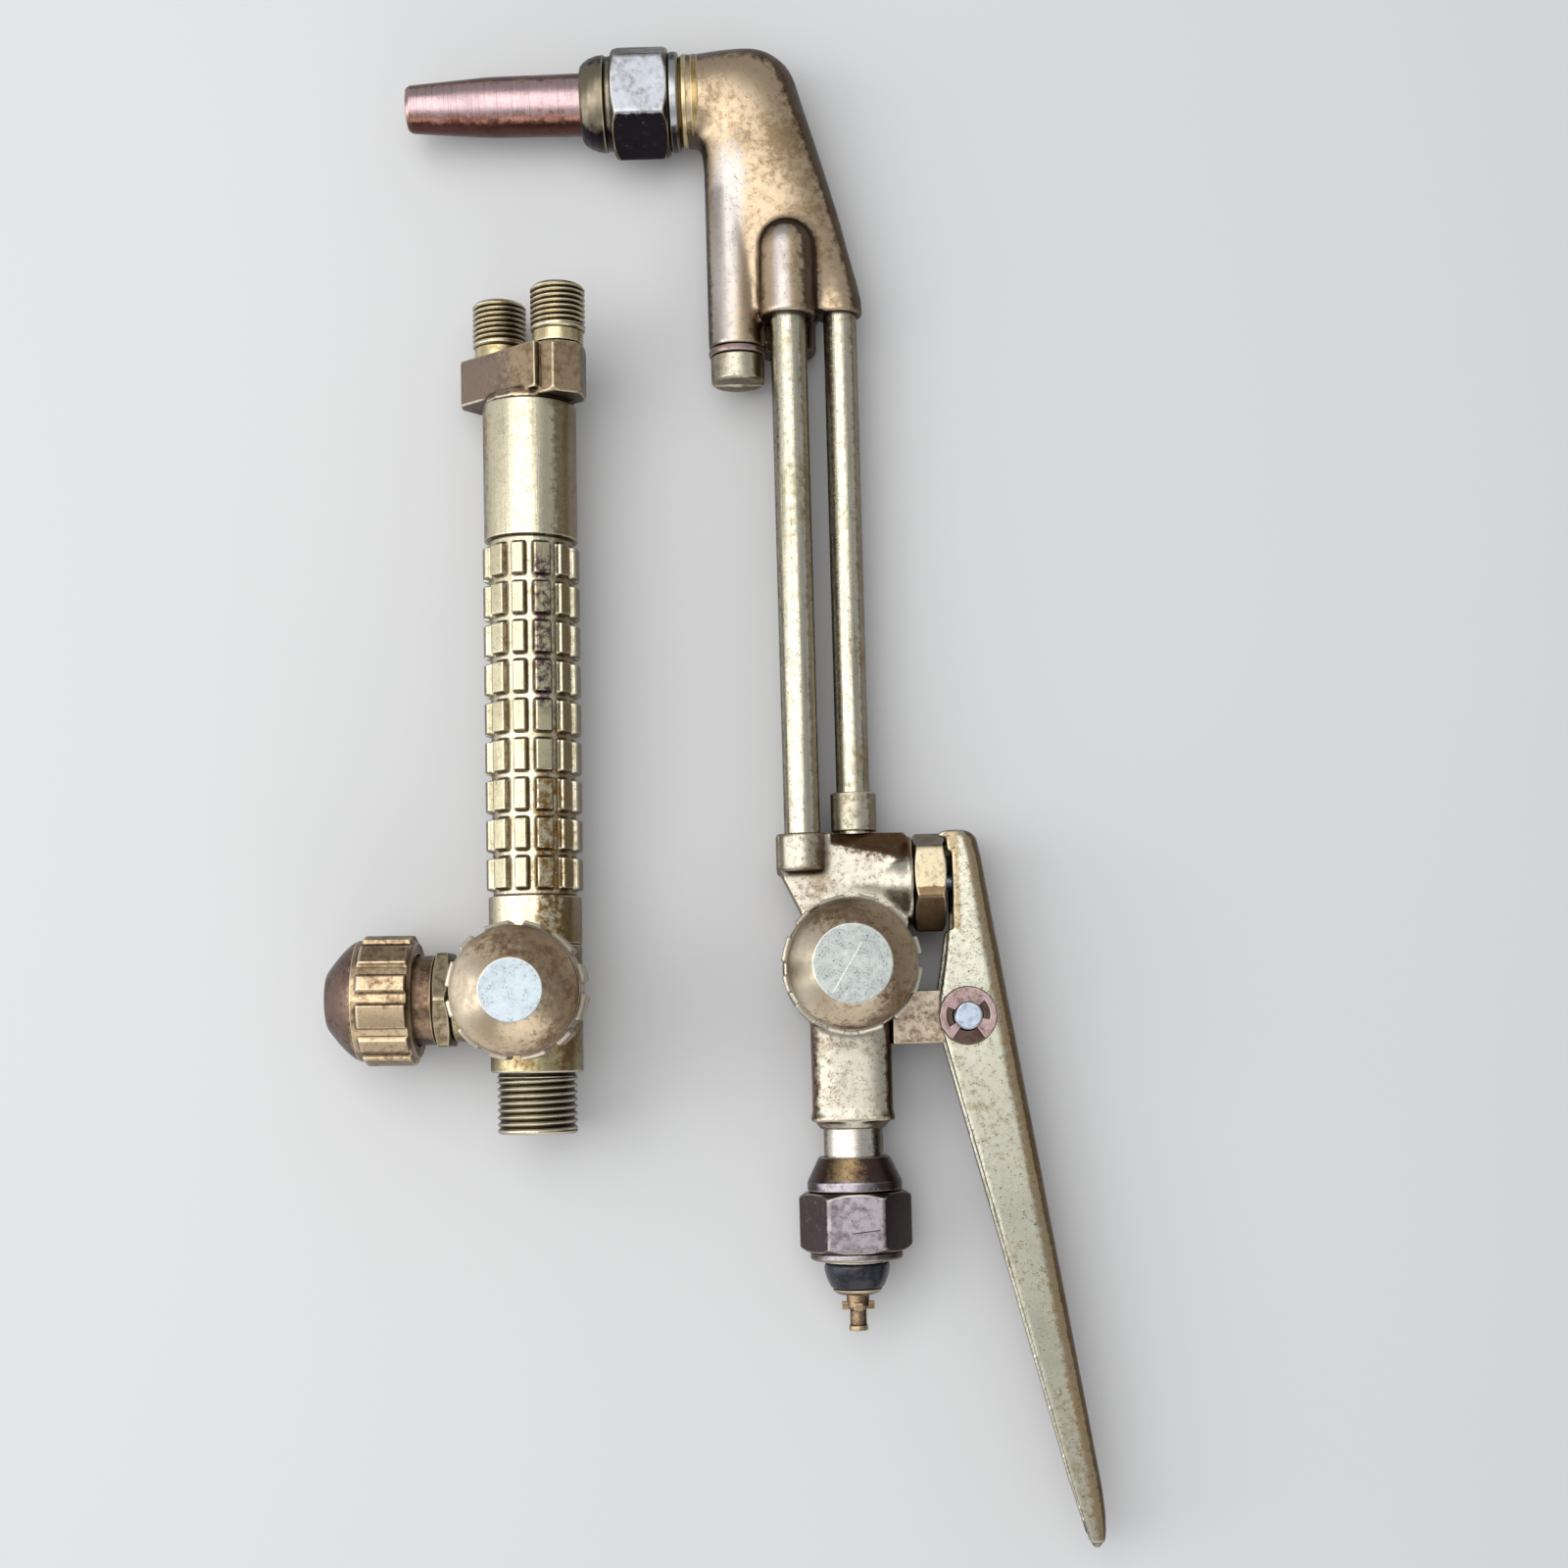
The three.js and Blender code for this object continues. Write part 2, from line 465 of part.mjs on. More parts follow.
// Compression spring of five turns, as one open coil of round wire with square-cut ends
function springShell() {
  const coil = { r: 3.75, wireR: 0.5, from: 4.5, to: 16.9, turns: 5, steps: 8, sides: 5 };
  const stepsInAll = coil.turns * coil.steps;
  const stations = Array.from({ length: stepsInAll + 1 }, (_, i) => {
    const angle = 2 * Math.PI * i / coil.steps;
    const out = new THREE.Vector3(Math.cos(angle), Math.sin(angle), 0);
    const along = coil.from + (coil.to - coil.from) * i / stepsInAll;
    const middle = out.clone().multiplyScalar(coil.r).setZ(along);
    return {
      outline: arc(0, 0, coil.wireR, 0, 360 - 360 / coil.sides, coil.sides - 1),
      place: (u, v) => middle.clone().addScaledVector(out, u).add(new THREE.Vector3(0, 0, v)),
    };
  });
  const pitch = (coil.to - coil.from) / coil.turns;
  console.log(`spring: least gap between turns ${(pitch - 2 * coil.wireR).toFixed(2)} mm`);
  return loft(stations);
}

// Tail: neck tube, rubber seal, nose and flow nipple, with the loose union nut on the neck
function tailAssembly() {
  const neck = ring([[3, 33.3], [TAIL.neckR, 33.3], [TAIL.neckR, 58.4], [10.4, 58.4], [10.4, 62], [8.4, 64],
    [8.6, TAIL.sealFrom - GAP], [6.2, TAIL.sealFrom - GAP], [6.2, 76], [3, 76]]);
  const seal = ring([[5, TAIL.sealFrom], [8.7, TAIL.sealFrom], [8.7, 79.6], [8.35, 81.4], [7.7, 83.3],
    [6.9, TAIL.sealTo], [5, TAIL.sealTo]]);
  const nose = ring([[3.4, 76.3], [4.7, 76.3], [4.7, TAIL.sealTo + GAP], [6.7, TAIL.sealTo + GAP],
    [5.1, TAIL.noseEnd], [3.4, TAIL.noseEnd]]);
  const nipple = ring([[1.1, 70], [2.7, 70], [2.7, TAIL.noseEnd], [3, TAIL.noseEnd + GAP], [3, 90], [2.2, 91],
    [2.2, 94.8], [2.5, 95.2], [2.5, TAIL.nippleEnd], [1.1, TAIL.nippleEnd]], COARSE);
  const bar = (turn) => cut(
    box([-1.2, 1.2], [-4.4, 4.4], [88.8, 90.8]).rotateZ(turn),
    rod(1.5, 88, 92, COARSE),
  );
  const crossed = join(nipple, bar(0), bar(Math.PI / 2));

  const shell = join(
    hexagon(UNION.flats, UNION.hexFrom, UNION.hexTo, Math.PI / 2, 1.2),
    revolve([[0, UNION.coneFrom], [9.4, UNION.coneFrom], [12.3, 56], [12.6, 56.6], [12.6, 58.8],
      [12, UNION.hexFrom], [12, UNION.hexTo], [12.3, 75.6], [12.3, 76.8], [11.9, UNION.end], [0, UNION.end]], FINE),
  );
  const bore = revolve([[0, 49], [TAIL.neckR + GAP, 49], [TAIL.neckR + GAP, 58], [UNION.bore, 58],
    [UNION.bore, 78], [0, 78]], FINE);
  const assembly = group(
    mesh('tail_tube', neck, PALE_BRASS),
    mesh('tail_seal', seal, RUBBER),
    mesh('tail_nose', nose, BRASS),
    mesh('tail_nipple', crossed, BRASS),
    mesh('union_nut', cut(shell, bore), DARK_BRONZE),
  );
  assembly.rotation.x = Math.PI / 2;
  return assembly;
}

// Channel section of the lever in x and z: round at the web, open towards the body
function channelOutline(inner, outer, half) {
  const { wall, edgeR } = LEVER;
  const r = Math.min(edgeR, (outer - inner) * 0.45, half * 0.45);
  const innerR = Math.max(r - wall, 0.3);
  const floor = Math.max(outer - wall, inner + 0.6);
  const point = (x, z) => new THREE.Vector2(x, z);
  return [
    point(inner, -half),
    ...arc(outer - r, -half + r, r, -90, 0, 3),
    ...arc(outer - r, half - r, r, 0, 90, 3),
    point(inner, half),
    point(inner, half - wall),
    ...arc(floor - innerR, half - wall - innerR, innerR, 90, 0, 1),
    ...arc(floor - innerR, -half + wall + innerR, innerR, 0, -90, 1),
    point(inner, -half + wall),
  ];
}

function leverShell() {
  const outerAt = (y) => 40.15 - 0.165 * y;
  const innerAt = (y) => 19.52 - 0.2581 * y;
  const taperFrom = -40;
  const halfAt = (y) => LEVER.half - (LEVER.half - LEVER.tipHalf) * Math.max(0, taperFrom - y) / 112;
  const stations = [
    [LEVER.top, 26.2, 31], [34.9, 24.8, 32.6], [34.2, 24.3, 33.7], [33.6, 24.3, 34.2], [33.2, 26.2, 34.4],
    [29.8, 26.4, 35.2], [29.3, 27.5, 35.3], [9.4, 27.5, outerAt(9.4)], [9.1, 26.2, outerAt(9.1)],
    [-0.5, 24.8, outerAt(-0.5)], [-9, 23.3, outerAt(-9)], [-14, 23.2, outerAt(-14)],
    ...[-26, -60, -100, -139].map((y) => [y, innerAt(y), outerAt(y)]),
    [-146, 57.5, 63.8], [-150.4, 58.8, 63.8], [-153.4, 59.6, 63.4],
  ].map(([y, inner, outer]) => ({
    outline: channelOutline(inner, outer, halfAt(y)),
    place: (x, z) => new THREE.Vector3(x, y, z),
  }));
  const end = (rows) => loft(rows.map(([y, inner, outer, half]) => ({
    outline: softRectangle(3.2),
    place: (u, v) => new THREE.Vector3((inner + outer) / 2 + (outer - inner) / 2 * u, y, half * v),
  })));
  const topEnd = box([26.3, 31.2], [33.2, 34.8], [-8, 8]);
  const tipEnd = end([[-149.6, 58.9, 63.6, 5.9], [-153.8, 59.8, 63.2, 5.4], [LEVER.tip, 60.5, 62.3, 4.2]]);
  const tongue = cut(
    box([27.9, 29.8], [14.6, 29.4], [-8, 8]),
    box([27, 31], [19.4, 31], [-2.7, 2.7]),
  );
  const pinHole = rod(PIVOT.pinR + GAP, -12, 12).translate(PIVOT.x, PIVOT.y, 0);
  return cut(join(loft(stations), topEnd, tipEnd, tongue), pinHole);
}

// Lever on its pin, with the lug that carries the pin, the washer and the retaining clip.
// The pin's head is a foot that the attachment lies on, beside the flats of its two nuts
function leverAssembly() {
  const lugHalf = { y: 7, z: LEVER.half - LEVER.wall - GAP };
  const lug = cut(
    join(
      box([BODY.stemHalf + GAP, PIVOT.x], [PIVOT.y - lugHalf.y, PIVOT.y + lugHalf.y],
        [-lugHalf.z, lugHalf.z]),
      rod(lugHalf.y, -lugHalf.z, lugHalf.z).translate(PIVOT.x, PIVOT.y, 0),
    ),
    rod(PIVOT.pinR + GAP, -12, 12).translate(PIVOT.x, PIVOT.y, 0),
    rod(BODY.discR + GAP, -BODY.face - 1, BODY.discTop + GAP, FINE),
  );
  const clipLow = LEVER.half + 1.2;
  const clipHigh = clipLow + 1;
  const foot = -ATTACHMENT.z;
  const pin = revolve([[0, foot], [PIVOT.headR - 0.6, foot], [PIVOT.headR, foot + 0.6],
    [PIVOT.headR, -LEVER.half - GAP], [PIVOT.pinR, -LEVER.half - GAP],
    [PIVOT.pinR, clipLow - GAP], [3.1, clipLow - GAP], [3.1, clipHigh + GAP], [PIVOT.pinR, clipHigh + GAP],
    [PIVOT.pinR, 12.4], [3.3, 12.9], [0, 12.9]]);
  const washer = sleeve(PIVOT.pinR + GAP, 7.7, LEVER.half + 0.2, LEVER.half + 0.9);
  const onPivot = group(
    mesh('lever_pivot_pin', pin, STEEL),
    mesh('pivot_washer', washer, DARK_BRONZE),
    mesh('pivot_e_clip', clipShell(clipLow, clipHigh), COPPER),
  );
  onPivot.position.set(PIVOT.x, PIVOT.y, 0);
  return group(
    mesh('cutting_lever', leverShell(), PALE_BRASS),
    mesh('pivot_lug', lug, BRONZE),
    onPivot,
  );
}

// Retaining clip: an open ring with three prongs that reach into the pin's groove
function clipShell(low, high) {
  const clip = { r: 7.5, slotR: 5.7, grip: 3.4, mouth: [235, 305] };
  const slots = [[-12, 42], [156, 210]];
  const sector = (from, to, inner, outer) => new THREE.Shape([
    ...arc(0, 0, outer, from, to, 6), ...arc(0, 0, inner, to, from, 6),
  ]);
  const slab = (shape, zLow, zHigh) =>
    new THREE.ExtrudeGeometry(shape, { depth: zHigh - zLow, bevelEnabled: false }).translate(0, 0, zLow);
  return cut(
    sleeve(clip.grip, clip.r, low, high, FINE),
    slab(sector(...clip.mouth, 1, clip.r + 2), low - 1, high + 1),
    ...slots.map(([from, to]) => slab(sector(from, to, clip.grip - 1, clip.slotR), low - 1, high + 1)),
  );
}

// Handle housing: outlet spigot with its cone seat, two valve bosses and sockets for the inner tubes
function housingShell() {
  const main = AIM['+y'](revolve([[0, HOUSING.outletEnd], [10, HOUSING.outletEnd], [HOUSING.outletR, -34.8],
    [HOUSING.outletR, HOUSING.from], [HOUSING.r - 0.3, HOUSING.from], [HOUSING.r, HOUSING.from + 0.4],
    [HOUSING.r, HOUSING.to], [9.7, HOUSING.to], [9.7, 20], [0, 20]], FINE));
  const boss = rod(11, 0, HOUSING.bossTop, FINE);
  const cavity = needleCavity(4).translate(0, 0, HOUSING.bossTop);
  const sideways = (geometry) => AIM['-x'](geometry);
  const upward = (geometry) => geometry.translate(0, HOUSING.upValve, 0);
  const coneSeat = AIM['+y'](revolve([[0, -37], [9.2, -37], [9.2, -34], [7.4, -27.4], [5.5, -26.4],
    [5.5, -24], [3.2, -23], [3.2, -14], [0, -14]]));
  const sockets = tubePlaces().map(([x, z]) =>
    AIM['+y'](rod(INLET.tubeR + GAP, 13, 21, COARSE)).translate(x, 0, z));
  return cut(join(main, sideways(boss.clone()), upward(boss.clone())), coneSeat, sideways(cavity.clone()),
    upward(cavity.clone()), ...sockets);
}

// Inner tubes lie either side of the axis, on the slope that the hose nipples follow
function tubePlaces(reach = INLET.tubeCentre) {
  const slope = THREE.MathUtils.degToRad(INLET.slopeDegrees);
  return [-1, 1].map((side) => [side * reach * Math.cos(slope), side * reach * Math.sin(slope)]);
}

// Barrel with nine rings of raised grip blocks, twelve to a ring, wide and narrow by turns
function barrelShell() {
  const { knurlFrom, knurlR, grooveR, rings, pitch, ringLong, knurlTurn } = BARREL;
  const knurlEnd = knurlFrom + rings * pitch;
  const plainEnds = [[HOUSING.to + GAP, knurlFrom - 1.8], [knurlEnd, BARREL.to]]
    .map(([from, to]) => rod(BARREL.r, from, to, FINE));
  const core = rod(grooveR, knurlFrom - 2, knurlEnd + 0.2, 12);
  const outline = new THREE.Shape(Array.from({ length: 12 }, (_, i) => {
    const middle = (i + 0.5) * 30 + knurlTurn;
    const half = i % 2 ? 10.5 : 8;
    return [polar(grooveR - 0.6, middle - half), polar(knurlR, middle - half), polar(knurlR, middle + half),
      polar(grooveR - 0.6, middle + half)];
  }).flat());
  const blocks = Array.from({ length: rings }, (_, i) =>
    new THREE.ExtrudeGeometry(outline, { depth: ringLong, bevelEnabled: false })
      .translate(0, 0, knurlFrom + i * pitch));
  return cut(join(core, ...plainEnds, ...blocks), rod(BARREL.bore, 0, BARREL.to + 1, FINE));
}

// Inlet block: a sloping arm with a hexagonal boss round the upper nipple, and a spigot into the barrel
function inletShell() {
  const { from, to, half, centre, hexFlats, hexFacing, slopeDegrees } = INLET;
  const slope = THREE.MathUtils.degToRad(slopeDegrees);
  const armEnd = centre + half;
  const arm = new THREE.ExtrudeGeometry(new THREE.Shape([
    [-armEnd, -half + 2.6], [-armEnd + 2.6, -half], [centre, -half], [centre, half],
    [-armEnd + 2.6, half], [-armEnd, half - 2.6],
  ].map(([x, y]) => new THREE.Vector2(x, y))), { depth: to - from, bevelEnabled: false })
    .translate(0, 0, from);
  const boss = hexagon(hexFlats, from - 1.4, to, THREE.MathUtils.degToRad(slopeDegrees - hexFacing), 1.2)
    .translate(centre, 0, 0);
  const neck = revolve([[0, 148], [9.7, 148], [9.7, BARREL.to + GAP], [11.9, BARREL.to + GAP], [11.9, 157],
    [11.2, from + 0.5], [0, from + 0.5]], FINE);
  const nippleBores = [-1, 1].map((side) => rod(5.4, 162.2, to + 1, FINE).translate(side * centre, 0, 0));
  const tubeBores = [-1, 1].map((side) =>
    rod(INLET.tubeR + GAP, 147, 160).translate(side * INLET.tubeCentre, 0, 0));
  const whole = cut(join(arm, boss, neck), ...nippleBores, ...tubeBores);
  return AIM['+y'](whole.rotateZ(-slope));
}

function hoseNipple(name) {
  const { to, nippleR, nippleEnd } = INLET;
  return mesh(name, ring([[2.4, 162.6], [5.1, 162.6], [5.1, to + GAP], [6.6, to + GAP], [6.6, to + 3.6],
    [nippleR, to + 4.2], [nippleR, nippleEnd - 0.8], [nippleR - 0.8, nippleEnd], [5, nippleEnd],
    [2.4, nippleEnd - 4]]), BRASS);
}

function handleAssembly() {
  const alongAxis = (piece, [x, z] = [0, 0]) => {
    piece.rotation.x = -Math.PI / 2;
    piece.position.set(x, 0, z);
    return piece;
  };
  const [lowNipple, highNipple] = tubePlaces(INLET.centre);
  const [lowTube, highTube] = tubePlaces();
  const innerTube = () => sleeve(INLET.tubeR - 0.9, INLET.tubeR, 13.3, 159.7, COARSE);

  const sideValve = needleValve('oxygen', HANDLE_KNOB);
  sideValve.rotation.y = -Math.PI / 2;
  sideValve.position.x = -HOUSING.bossTop - GAP;
  const upValve = needleValve('fuel', HANDLE_KNOB);
  upValve.position.set(0, HOUSING.upValve, HOUSING.bossTop + GAP);

  const handle = group(
    mesh('valve_housing', housingShell(), BRASS),
    alongAxis(mesh('handle_barrel', barrelShell(), BRASS)),
    mesh('inlet_block', inletShell(), BRONZE),
    alongAxis(hoseNipple('fuel_inlet_nipple'), lowNipple),
    alongAxis(hoseNipple('oxygen_inlet_nipple'), highNipple),
    alongAxis(mesh('handle_fuel_tube', innerTube(), COPPER), lowTube),
    alongAxis(mesh('handle_oxygen_tube', innerTube(), COPPER), highTube),
    sideValve,
    upValve,
  );
  handle.position.set(HANDLE.x, HANDLE.y, HANDLE.z);
  handle.rotation.z = THREE.MathUtils.degToRad(HANDLE.yawDegrees);
  return handle;
}

function attachmentAssembly() {
  const preheatValve = needleValve('preheat', ATTACHMENT_KNOB);
  preheatValve.position.z = BODY.discTop + GAP;
  const attachment = group(
    tipAssembly(),
    headAssembly(),
    tubes(),
    mesh('valve_body', bodyShell(), BRONZE),
    preheatValve,
    cuttingValve(),
    tailAssembly(),
    leverAssembly(),
  );
  attachment.position.set(ATTACHMENT.x, ATTACHMENT.y, ATTACHMENT.z);
  return attachment;
}

const torch = group(attachmentAssembly(), handleAssembly());
torch.name = 'cutting_torch';
export default torch;
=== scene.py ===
"""A cutting torch in two halves on a pale floor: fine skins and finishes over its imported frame.

Shapes are drawn in millimetres in the same places as the solids that they stand for. Turned pieces
are grids of points round an axis, forged pieces are fused skins, and every metal has its own patina.
"""
import math

import bpy
import numpy as np
from mathutils import Matrix, Vector


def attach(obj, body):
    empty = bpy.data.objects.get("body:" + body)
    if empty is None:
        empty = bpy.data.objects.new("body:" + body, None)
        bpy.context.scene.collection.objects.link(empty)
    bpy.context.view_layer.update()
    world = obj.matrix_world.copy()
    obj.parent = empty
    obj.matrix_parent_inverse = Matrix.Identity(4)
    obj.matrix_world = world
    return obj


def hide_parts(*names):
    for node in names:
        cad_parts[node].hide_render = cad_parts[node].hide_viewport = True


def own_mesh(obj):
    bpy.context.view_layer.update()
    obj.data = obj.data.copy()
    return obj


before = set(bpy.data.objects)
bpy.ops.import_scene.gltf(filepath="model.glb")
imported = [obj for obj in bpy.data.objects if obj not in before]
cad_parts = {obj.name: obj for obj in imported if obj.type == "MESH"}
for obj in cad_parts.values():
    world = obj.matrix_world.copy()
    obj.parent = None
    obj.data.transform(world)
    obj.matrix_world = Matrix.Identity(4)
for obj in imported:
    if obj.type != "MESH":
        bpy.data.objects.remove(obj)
scene = bpy.context.scene
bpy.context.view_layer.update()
MM = 0.001
TAU = 2 * math.pi

# Where the two halves lie
ATTACHMENT = (36.9, -45.8, 13.1)
HANDLE = (-45.9, -51.8, 17.7)
HANDLE_YAW = -0.9

# Head and nozzle
NOZZLE_Y = 231.7
TIP_REAR, TIP_FACE = 42.6, 111.0
PREHEAT_HOLES, PREHEAT_CIRCLE, PREHEAT_BORE = 6, 3.4, 0.6
MIXER_X, MIXER_R = -25.1, 7.5

# Tubes
PAIR_X, PAIR_Z, PAIR_R = -11.4, 5.6, 4.75
CUTTING_X, CUTTING_R = 2.4, 4.4

# Valve body and its valves
BODY_TOP, BODY_FACE, DISC_R, DISC_TOP = 35.5, 8.8, 17.6, 10.6
CUTTING_Y, BOSS_R, BOSS_FACE = 22.2, 12.3, 17.4
NUT_FLATS, BONNET_FLATS, GLAND_FLATS, GLAND_TURN = 26.2, 24.6, 23.6, 168.4
SPRING_R, WIRE_R, SPRING_TURNS = 3.75, 0.5, 5
SPRING_FROM, SPRING_TO, SPRING_KEEP = 4.5, 16.9, 0.64
PIVOT_X, PIVOT_Y = 30.6, -13.5
LEVER_EDGE, LEVER_TAPER = 40.15, 0.165

# Needle valves and knobs; a knob has a radius over its blocks, one at its dome's foot and one of its flat
GAP = 0.3
KNOB_FROM, KNOB_BASE, KNOB_HIGH, RIM_TO = 12.2, -2.9, 20.8, 12.6
BLOCKS, BLOCK_HIGH, BLOCK_FROM, BLOCK_TO = 12, 1.3, -1.8, 10.8
WIDE_BLOCK, NARROW_BLOCK, GLAND_RECESS = 11.0, 7.5, 12.3
HANDLE_KNOB = (17.3, 15.9, 7.75)
ATTACHMENT_KNOB = (17.8, 16.5, 9.9)

# Handle
BOSS_TOP, UP_VALVE = 21.3, 1.5
BARREL_R, KNURL_R, GROOVE_R, KNURL_TURN = 12.25, 12.8, 11.0, 5.0
WIDE_KNURL, NARROW_KNURL = 10.5, 8.0
KNURL_FROM, RINGS, RING_PITCH, RING_LONG = 28.6, 9, 10.2, 8.2
INLET_SLOPE, INLET_CENTRE = 40.0, 11.15

# Radiance that a face turned up mirrors, with paper white as 1
UP_LIGHT = 1.35
# The way that the sides without painted shade face, towards the lamps
LIT_SIDE = (-0.22, -0.14, 0.965)
# Bend radius at which an edge counts as sharp
SHARP_EDGE = 0.8


def turn(axis, degrees):
    return Matrix.Rotation(math.radians(degrees), 4, axis)


def shift(x=0.0, y=0.0, z=0.0):
    return Matrix.Translation((x, y, z))


AT_ATTACHMENT = shift(*ATTACHMENT)
AT_HANDLE = shift(*HANDLE) @ turn("Z", HANDLE_YAW)
AIM = {"+x": turn("Y", 90), "-x": turn("Y", -90), "+y": turn("X", -90), "-y": turn("X", 90)}
AT_NOZZLE = AT_ATTACHMENT @ shift(y=NOZZLE_Y) @ AIM["-x"]
AT_TAIL = AT_ATTACHMENT @ AIM["-y"]
AT_GLAND = AT_ATTACHMENT @ shift(y=CUTTING_Y) @ AIM["+x"]
AT_PREHEAT = AT_ATTACHMENT @ shift(z=DISC_TOP + GAP)
AT_SIDE_VALVE = AT_HANDLE @ shift(x=-BOSS_TOP - GAP) @ AIM["-x"]
AT_UP_VALVE = AT_HANDLE @ shift(y=UP_VALVE, z=BOSS_TOP + GAP)
AT_GRIP = AT_HANDLE @ AIM["+y"]
AS_DRAWN = Matrix.Identity(4)


# Profiles of turned pieces: rows of (radius, height) in millimetres
def line(r, low, high, step):
    """A straight run at one radius, in short steps, for a form that changes along it."""
    count = max(2, round((high - low) / step) + 1)
    return [(r, h) for h in np.linspace(low, high, count)]


def neighbours(row, closed):
    """Each item with the next one, and the last with the first where the row is closed."""
    return zip(row, row[1:] + row[:1] if closed else row[1:])


def soften(profile, radius, step, closed):
    """Rounds a profile's corners, adds a row beside each and splits its long runs."""
    points = [np.array(p, float) for p in profile]
    count = len(points)
    rounded = []
    for i, point in enumerate(points):
        if not closed and i in (0, count - 1):
            rounded.append(point)
            continue
        before, after = points[i - 1], points[(i + 1) % count]
        to_before, to_after = before - point, after - point
        long_before, long_after = np.linalg.norm(to_before), np.linalg.norm(to_after)
        bend = 1 + np.dot(to_before, to_after) / (long_before * long_after)
        if bend < 0.002:
            rounded.append(point)
            continue
        reach = min(radius, 0.4 * long_before, 0.4 * long_after)
        start = point + to_before / long_before * reach
        end = point + to_after / long_after * reach
        for share in (0, 0.25, 0.5, 0.75, 1):
            rounded.append((1 - share) ** 2 * start + 2 * share * (1 - share) * point + share**2 * end)
    rows = []
    for start, end in neighbours(rounded, closed):
        rows.append(start)
        length = np.linalg.norm(end - start)
        if length > 1.0:
            edge = 0.2 / length
            inner = np.linspace(edge, 1 - edge, max(2, math.ceil(length / step) + 1))
            rows.extend(start + (end - start) * share for share in inner)
    if not closed:
        rows.append(rounded[-1])
    return np.array(rows)


def turned(profile, form=None, around=96, rounding=0.3, step=4.0, closed=False):
    """Points and faces of a profile turned about +Z; form(angle, r, h) reshapes the radius."""
    rows = soften(profile, rounding, step, closed)
    angles = np.arange(around) * TAU / around
    points, rings = [], []
    for r, h in rows:
        if r < 1e-6:
            rings.append([len(points)])
            points.append((0.0, 0.0, h))
            continue
        reach = np.full(around, r) if form is None else form(angles, np.full(around, r), h)
        rings.append(list(range(len(points), len(points) + around)))
        points.extend(zip(reach * np.cos(angles), reach * np.sin(angles), np.full(around, h)))
    faces = []
    for lower, upper in neighbours(rings, closed):
        for i in range(around):
            j = (i + 1) % around
            corners = [ring[k % len(ring)] for ring, k in ((lower, i), (lower, j), (upper, j), (upper, i))]
            face = tuple(dict.fromkeys(corners))
            if len(face) > 2:
                faces.append(face)
    return np.array(points), faces


def bored(profile, form=None, **how):
    """A turned piece with a bore, whose profile closes on itself."""
    return turned(profile, form, closed=True, **how)


def hexed(flats, facing, corner=60.0, blend=70.0):
    """A hexagon with worn corners, one flat facing the given angle, blended into the turned form."""
    def form(angle, r, h):
        across = sum(np.abs(np.cos(angle - math.radians(facing + 60 * k))) ** corner for k in range(3))
        flat = flats / 2 / across ** (1 / corner)
        return (r**-blend + flat**-blend) ** (-1 / blend)
    return form


def bored_nut(profile, flats, facing=0.0, around=240, rounding=0.25):
    return bored(profile, hexed(flats, facing), around=around, rounding=rounding, step=0.6)


def threaded(major, low, high, pitch, depth):
    """A screw thread of rounded ridges between two heights."""
    def form(angle, r, h):
        if abs(r[0] - major) > 0.02 or h < low or h > high:
            return r
        ends = min(1.0, (h - low) / pitch * 1.6, (high - h) / pitch * 1.6)
        phase = ((h - low) / pitch - angle / TAU) % 1.0
        valley = np.clip(1.25 * np.abs(2 * phase - 1) - 0.12, 0, 1)
        return r - depth * valley * ends
    return form


def smooth(value, low, high):
    """0 below low, 1 above high and a soft step between them."""
    share = np.clip((value - low) / (high - low), 0, 1)
    return share * share * (3 - 2 * share)


def blocks(drum, high, wide, narrow, turned_by=0.0, edge=0.3):
    """Raised grip blocks round a drum, wide and narrow by turns; high(h) is their height there."""
    def form(angle, r, h):
        if r[0] < drum - 0.3:
            return r
        degrees = np.degrees(angle)
        result = np.array(r)
        for i in range(BLOCKS):
            middle = (i + 0.5) * 360 / BLOCKS + turned_by
            half = wide if i % 2 else narrow
            off = np.abs((degrees - middle + 180) % 360 - 180)
            soft = math.degrees(edge / drum)
            share = 1 - smooth(off, half - soft, half + soft)
            flat = (drum + BLOCK_HIGH) * (math.cos(math.radians(half)) / np.cos(np.radians(off)) - 1)
            result += share * high(h) * (1 + flat / BLOCK_HIGH * 0.6)
        return result
    return form


# Free shapes
def moved(shape, matrix):
    points, faces = shape
    placed = points @ np.array(matrix.to_3x3()).T + np.array(matrix.translation)
    return placed, faces


def joined(*shapes):
    points, faces, first = [], [], 0
    for more, loops in shapes:
        points.append(more)
        faces.extend(tuple(first + i for i in loop) for loop in loops)
        first += len(more)
    return np.vstack(points), faces


def lofted(rings):
    """Skin over rings of points, closed by a cap at each end and wound outward."""
    count = len(rings[0])
    points = np.vstack([*rings, np.mean(rings[0], axis=0), np.mean(rings[-1], axis=0)])
    faces = []
    for row in range(len(rings) - 1):
        for i in range(count):
            a, b = row * count + i, row * count + (i + 1) % count
            faces.append((a, b, b + count, a + count))
    first, last = len(points) - 2, len(points) - 1
    end = (len(rings) - 1) * count
    for i in range(count):
        j = (i + 1) % count
        faces.append((first, j, i))
        faces.append((last, end + i, end + j))
    volume = sum(np.dot(points[f[0]], np.cross(points[f[1]], points[f[2]])) for f in faces)
    return points, faces if volume > 0 else [f[::-1] for f in faces]


def soft_rectangle(power, count=64):
    """Outline two units wide, from an ellipse at power 2 towards a square as the power grows."""
    angles = (np.arange(count) + 0.5) * TAU / count
    corners = np.stack([np.cos(angles), np.sin(angles)], axis=1)
    return np.sign(corners) * np.abs(corners) ** (2 / power)


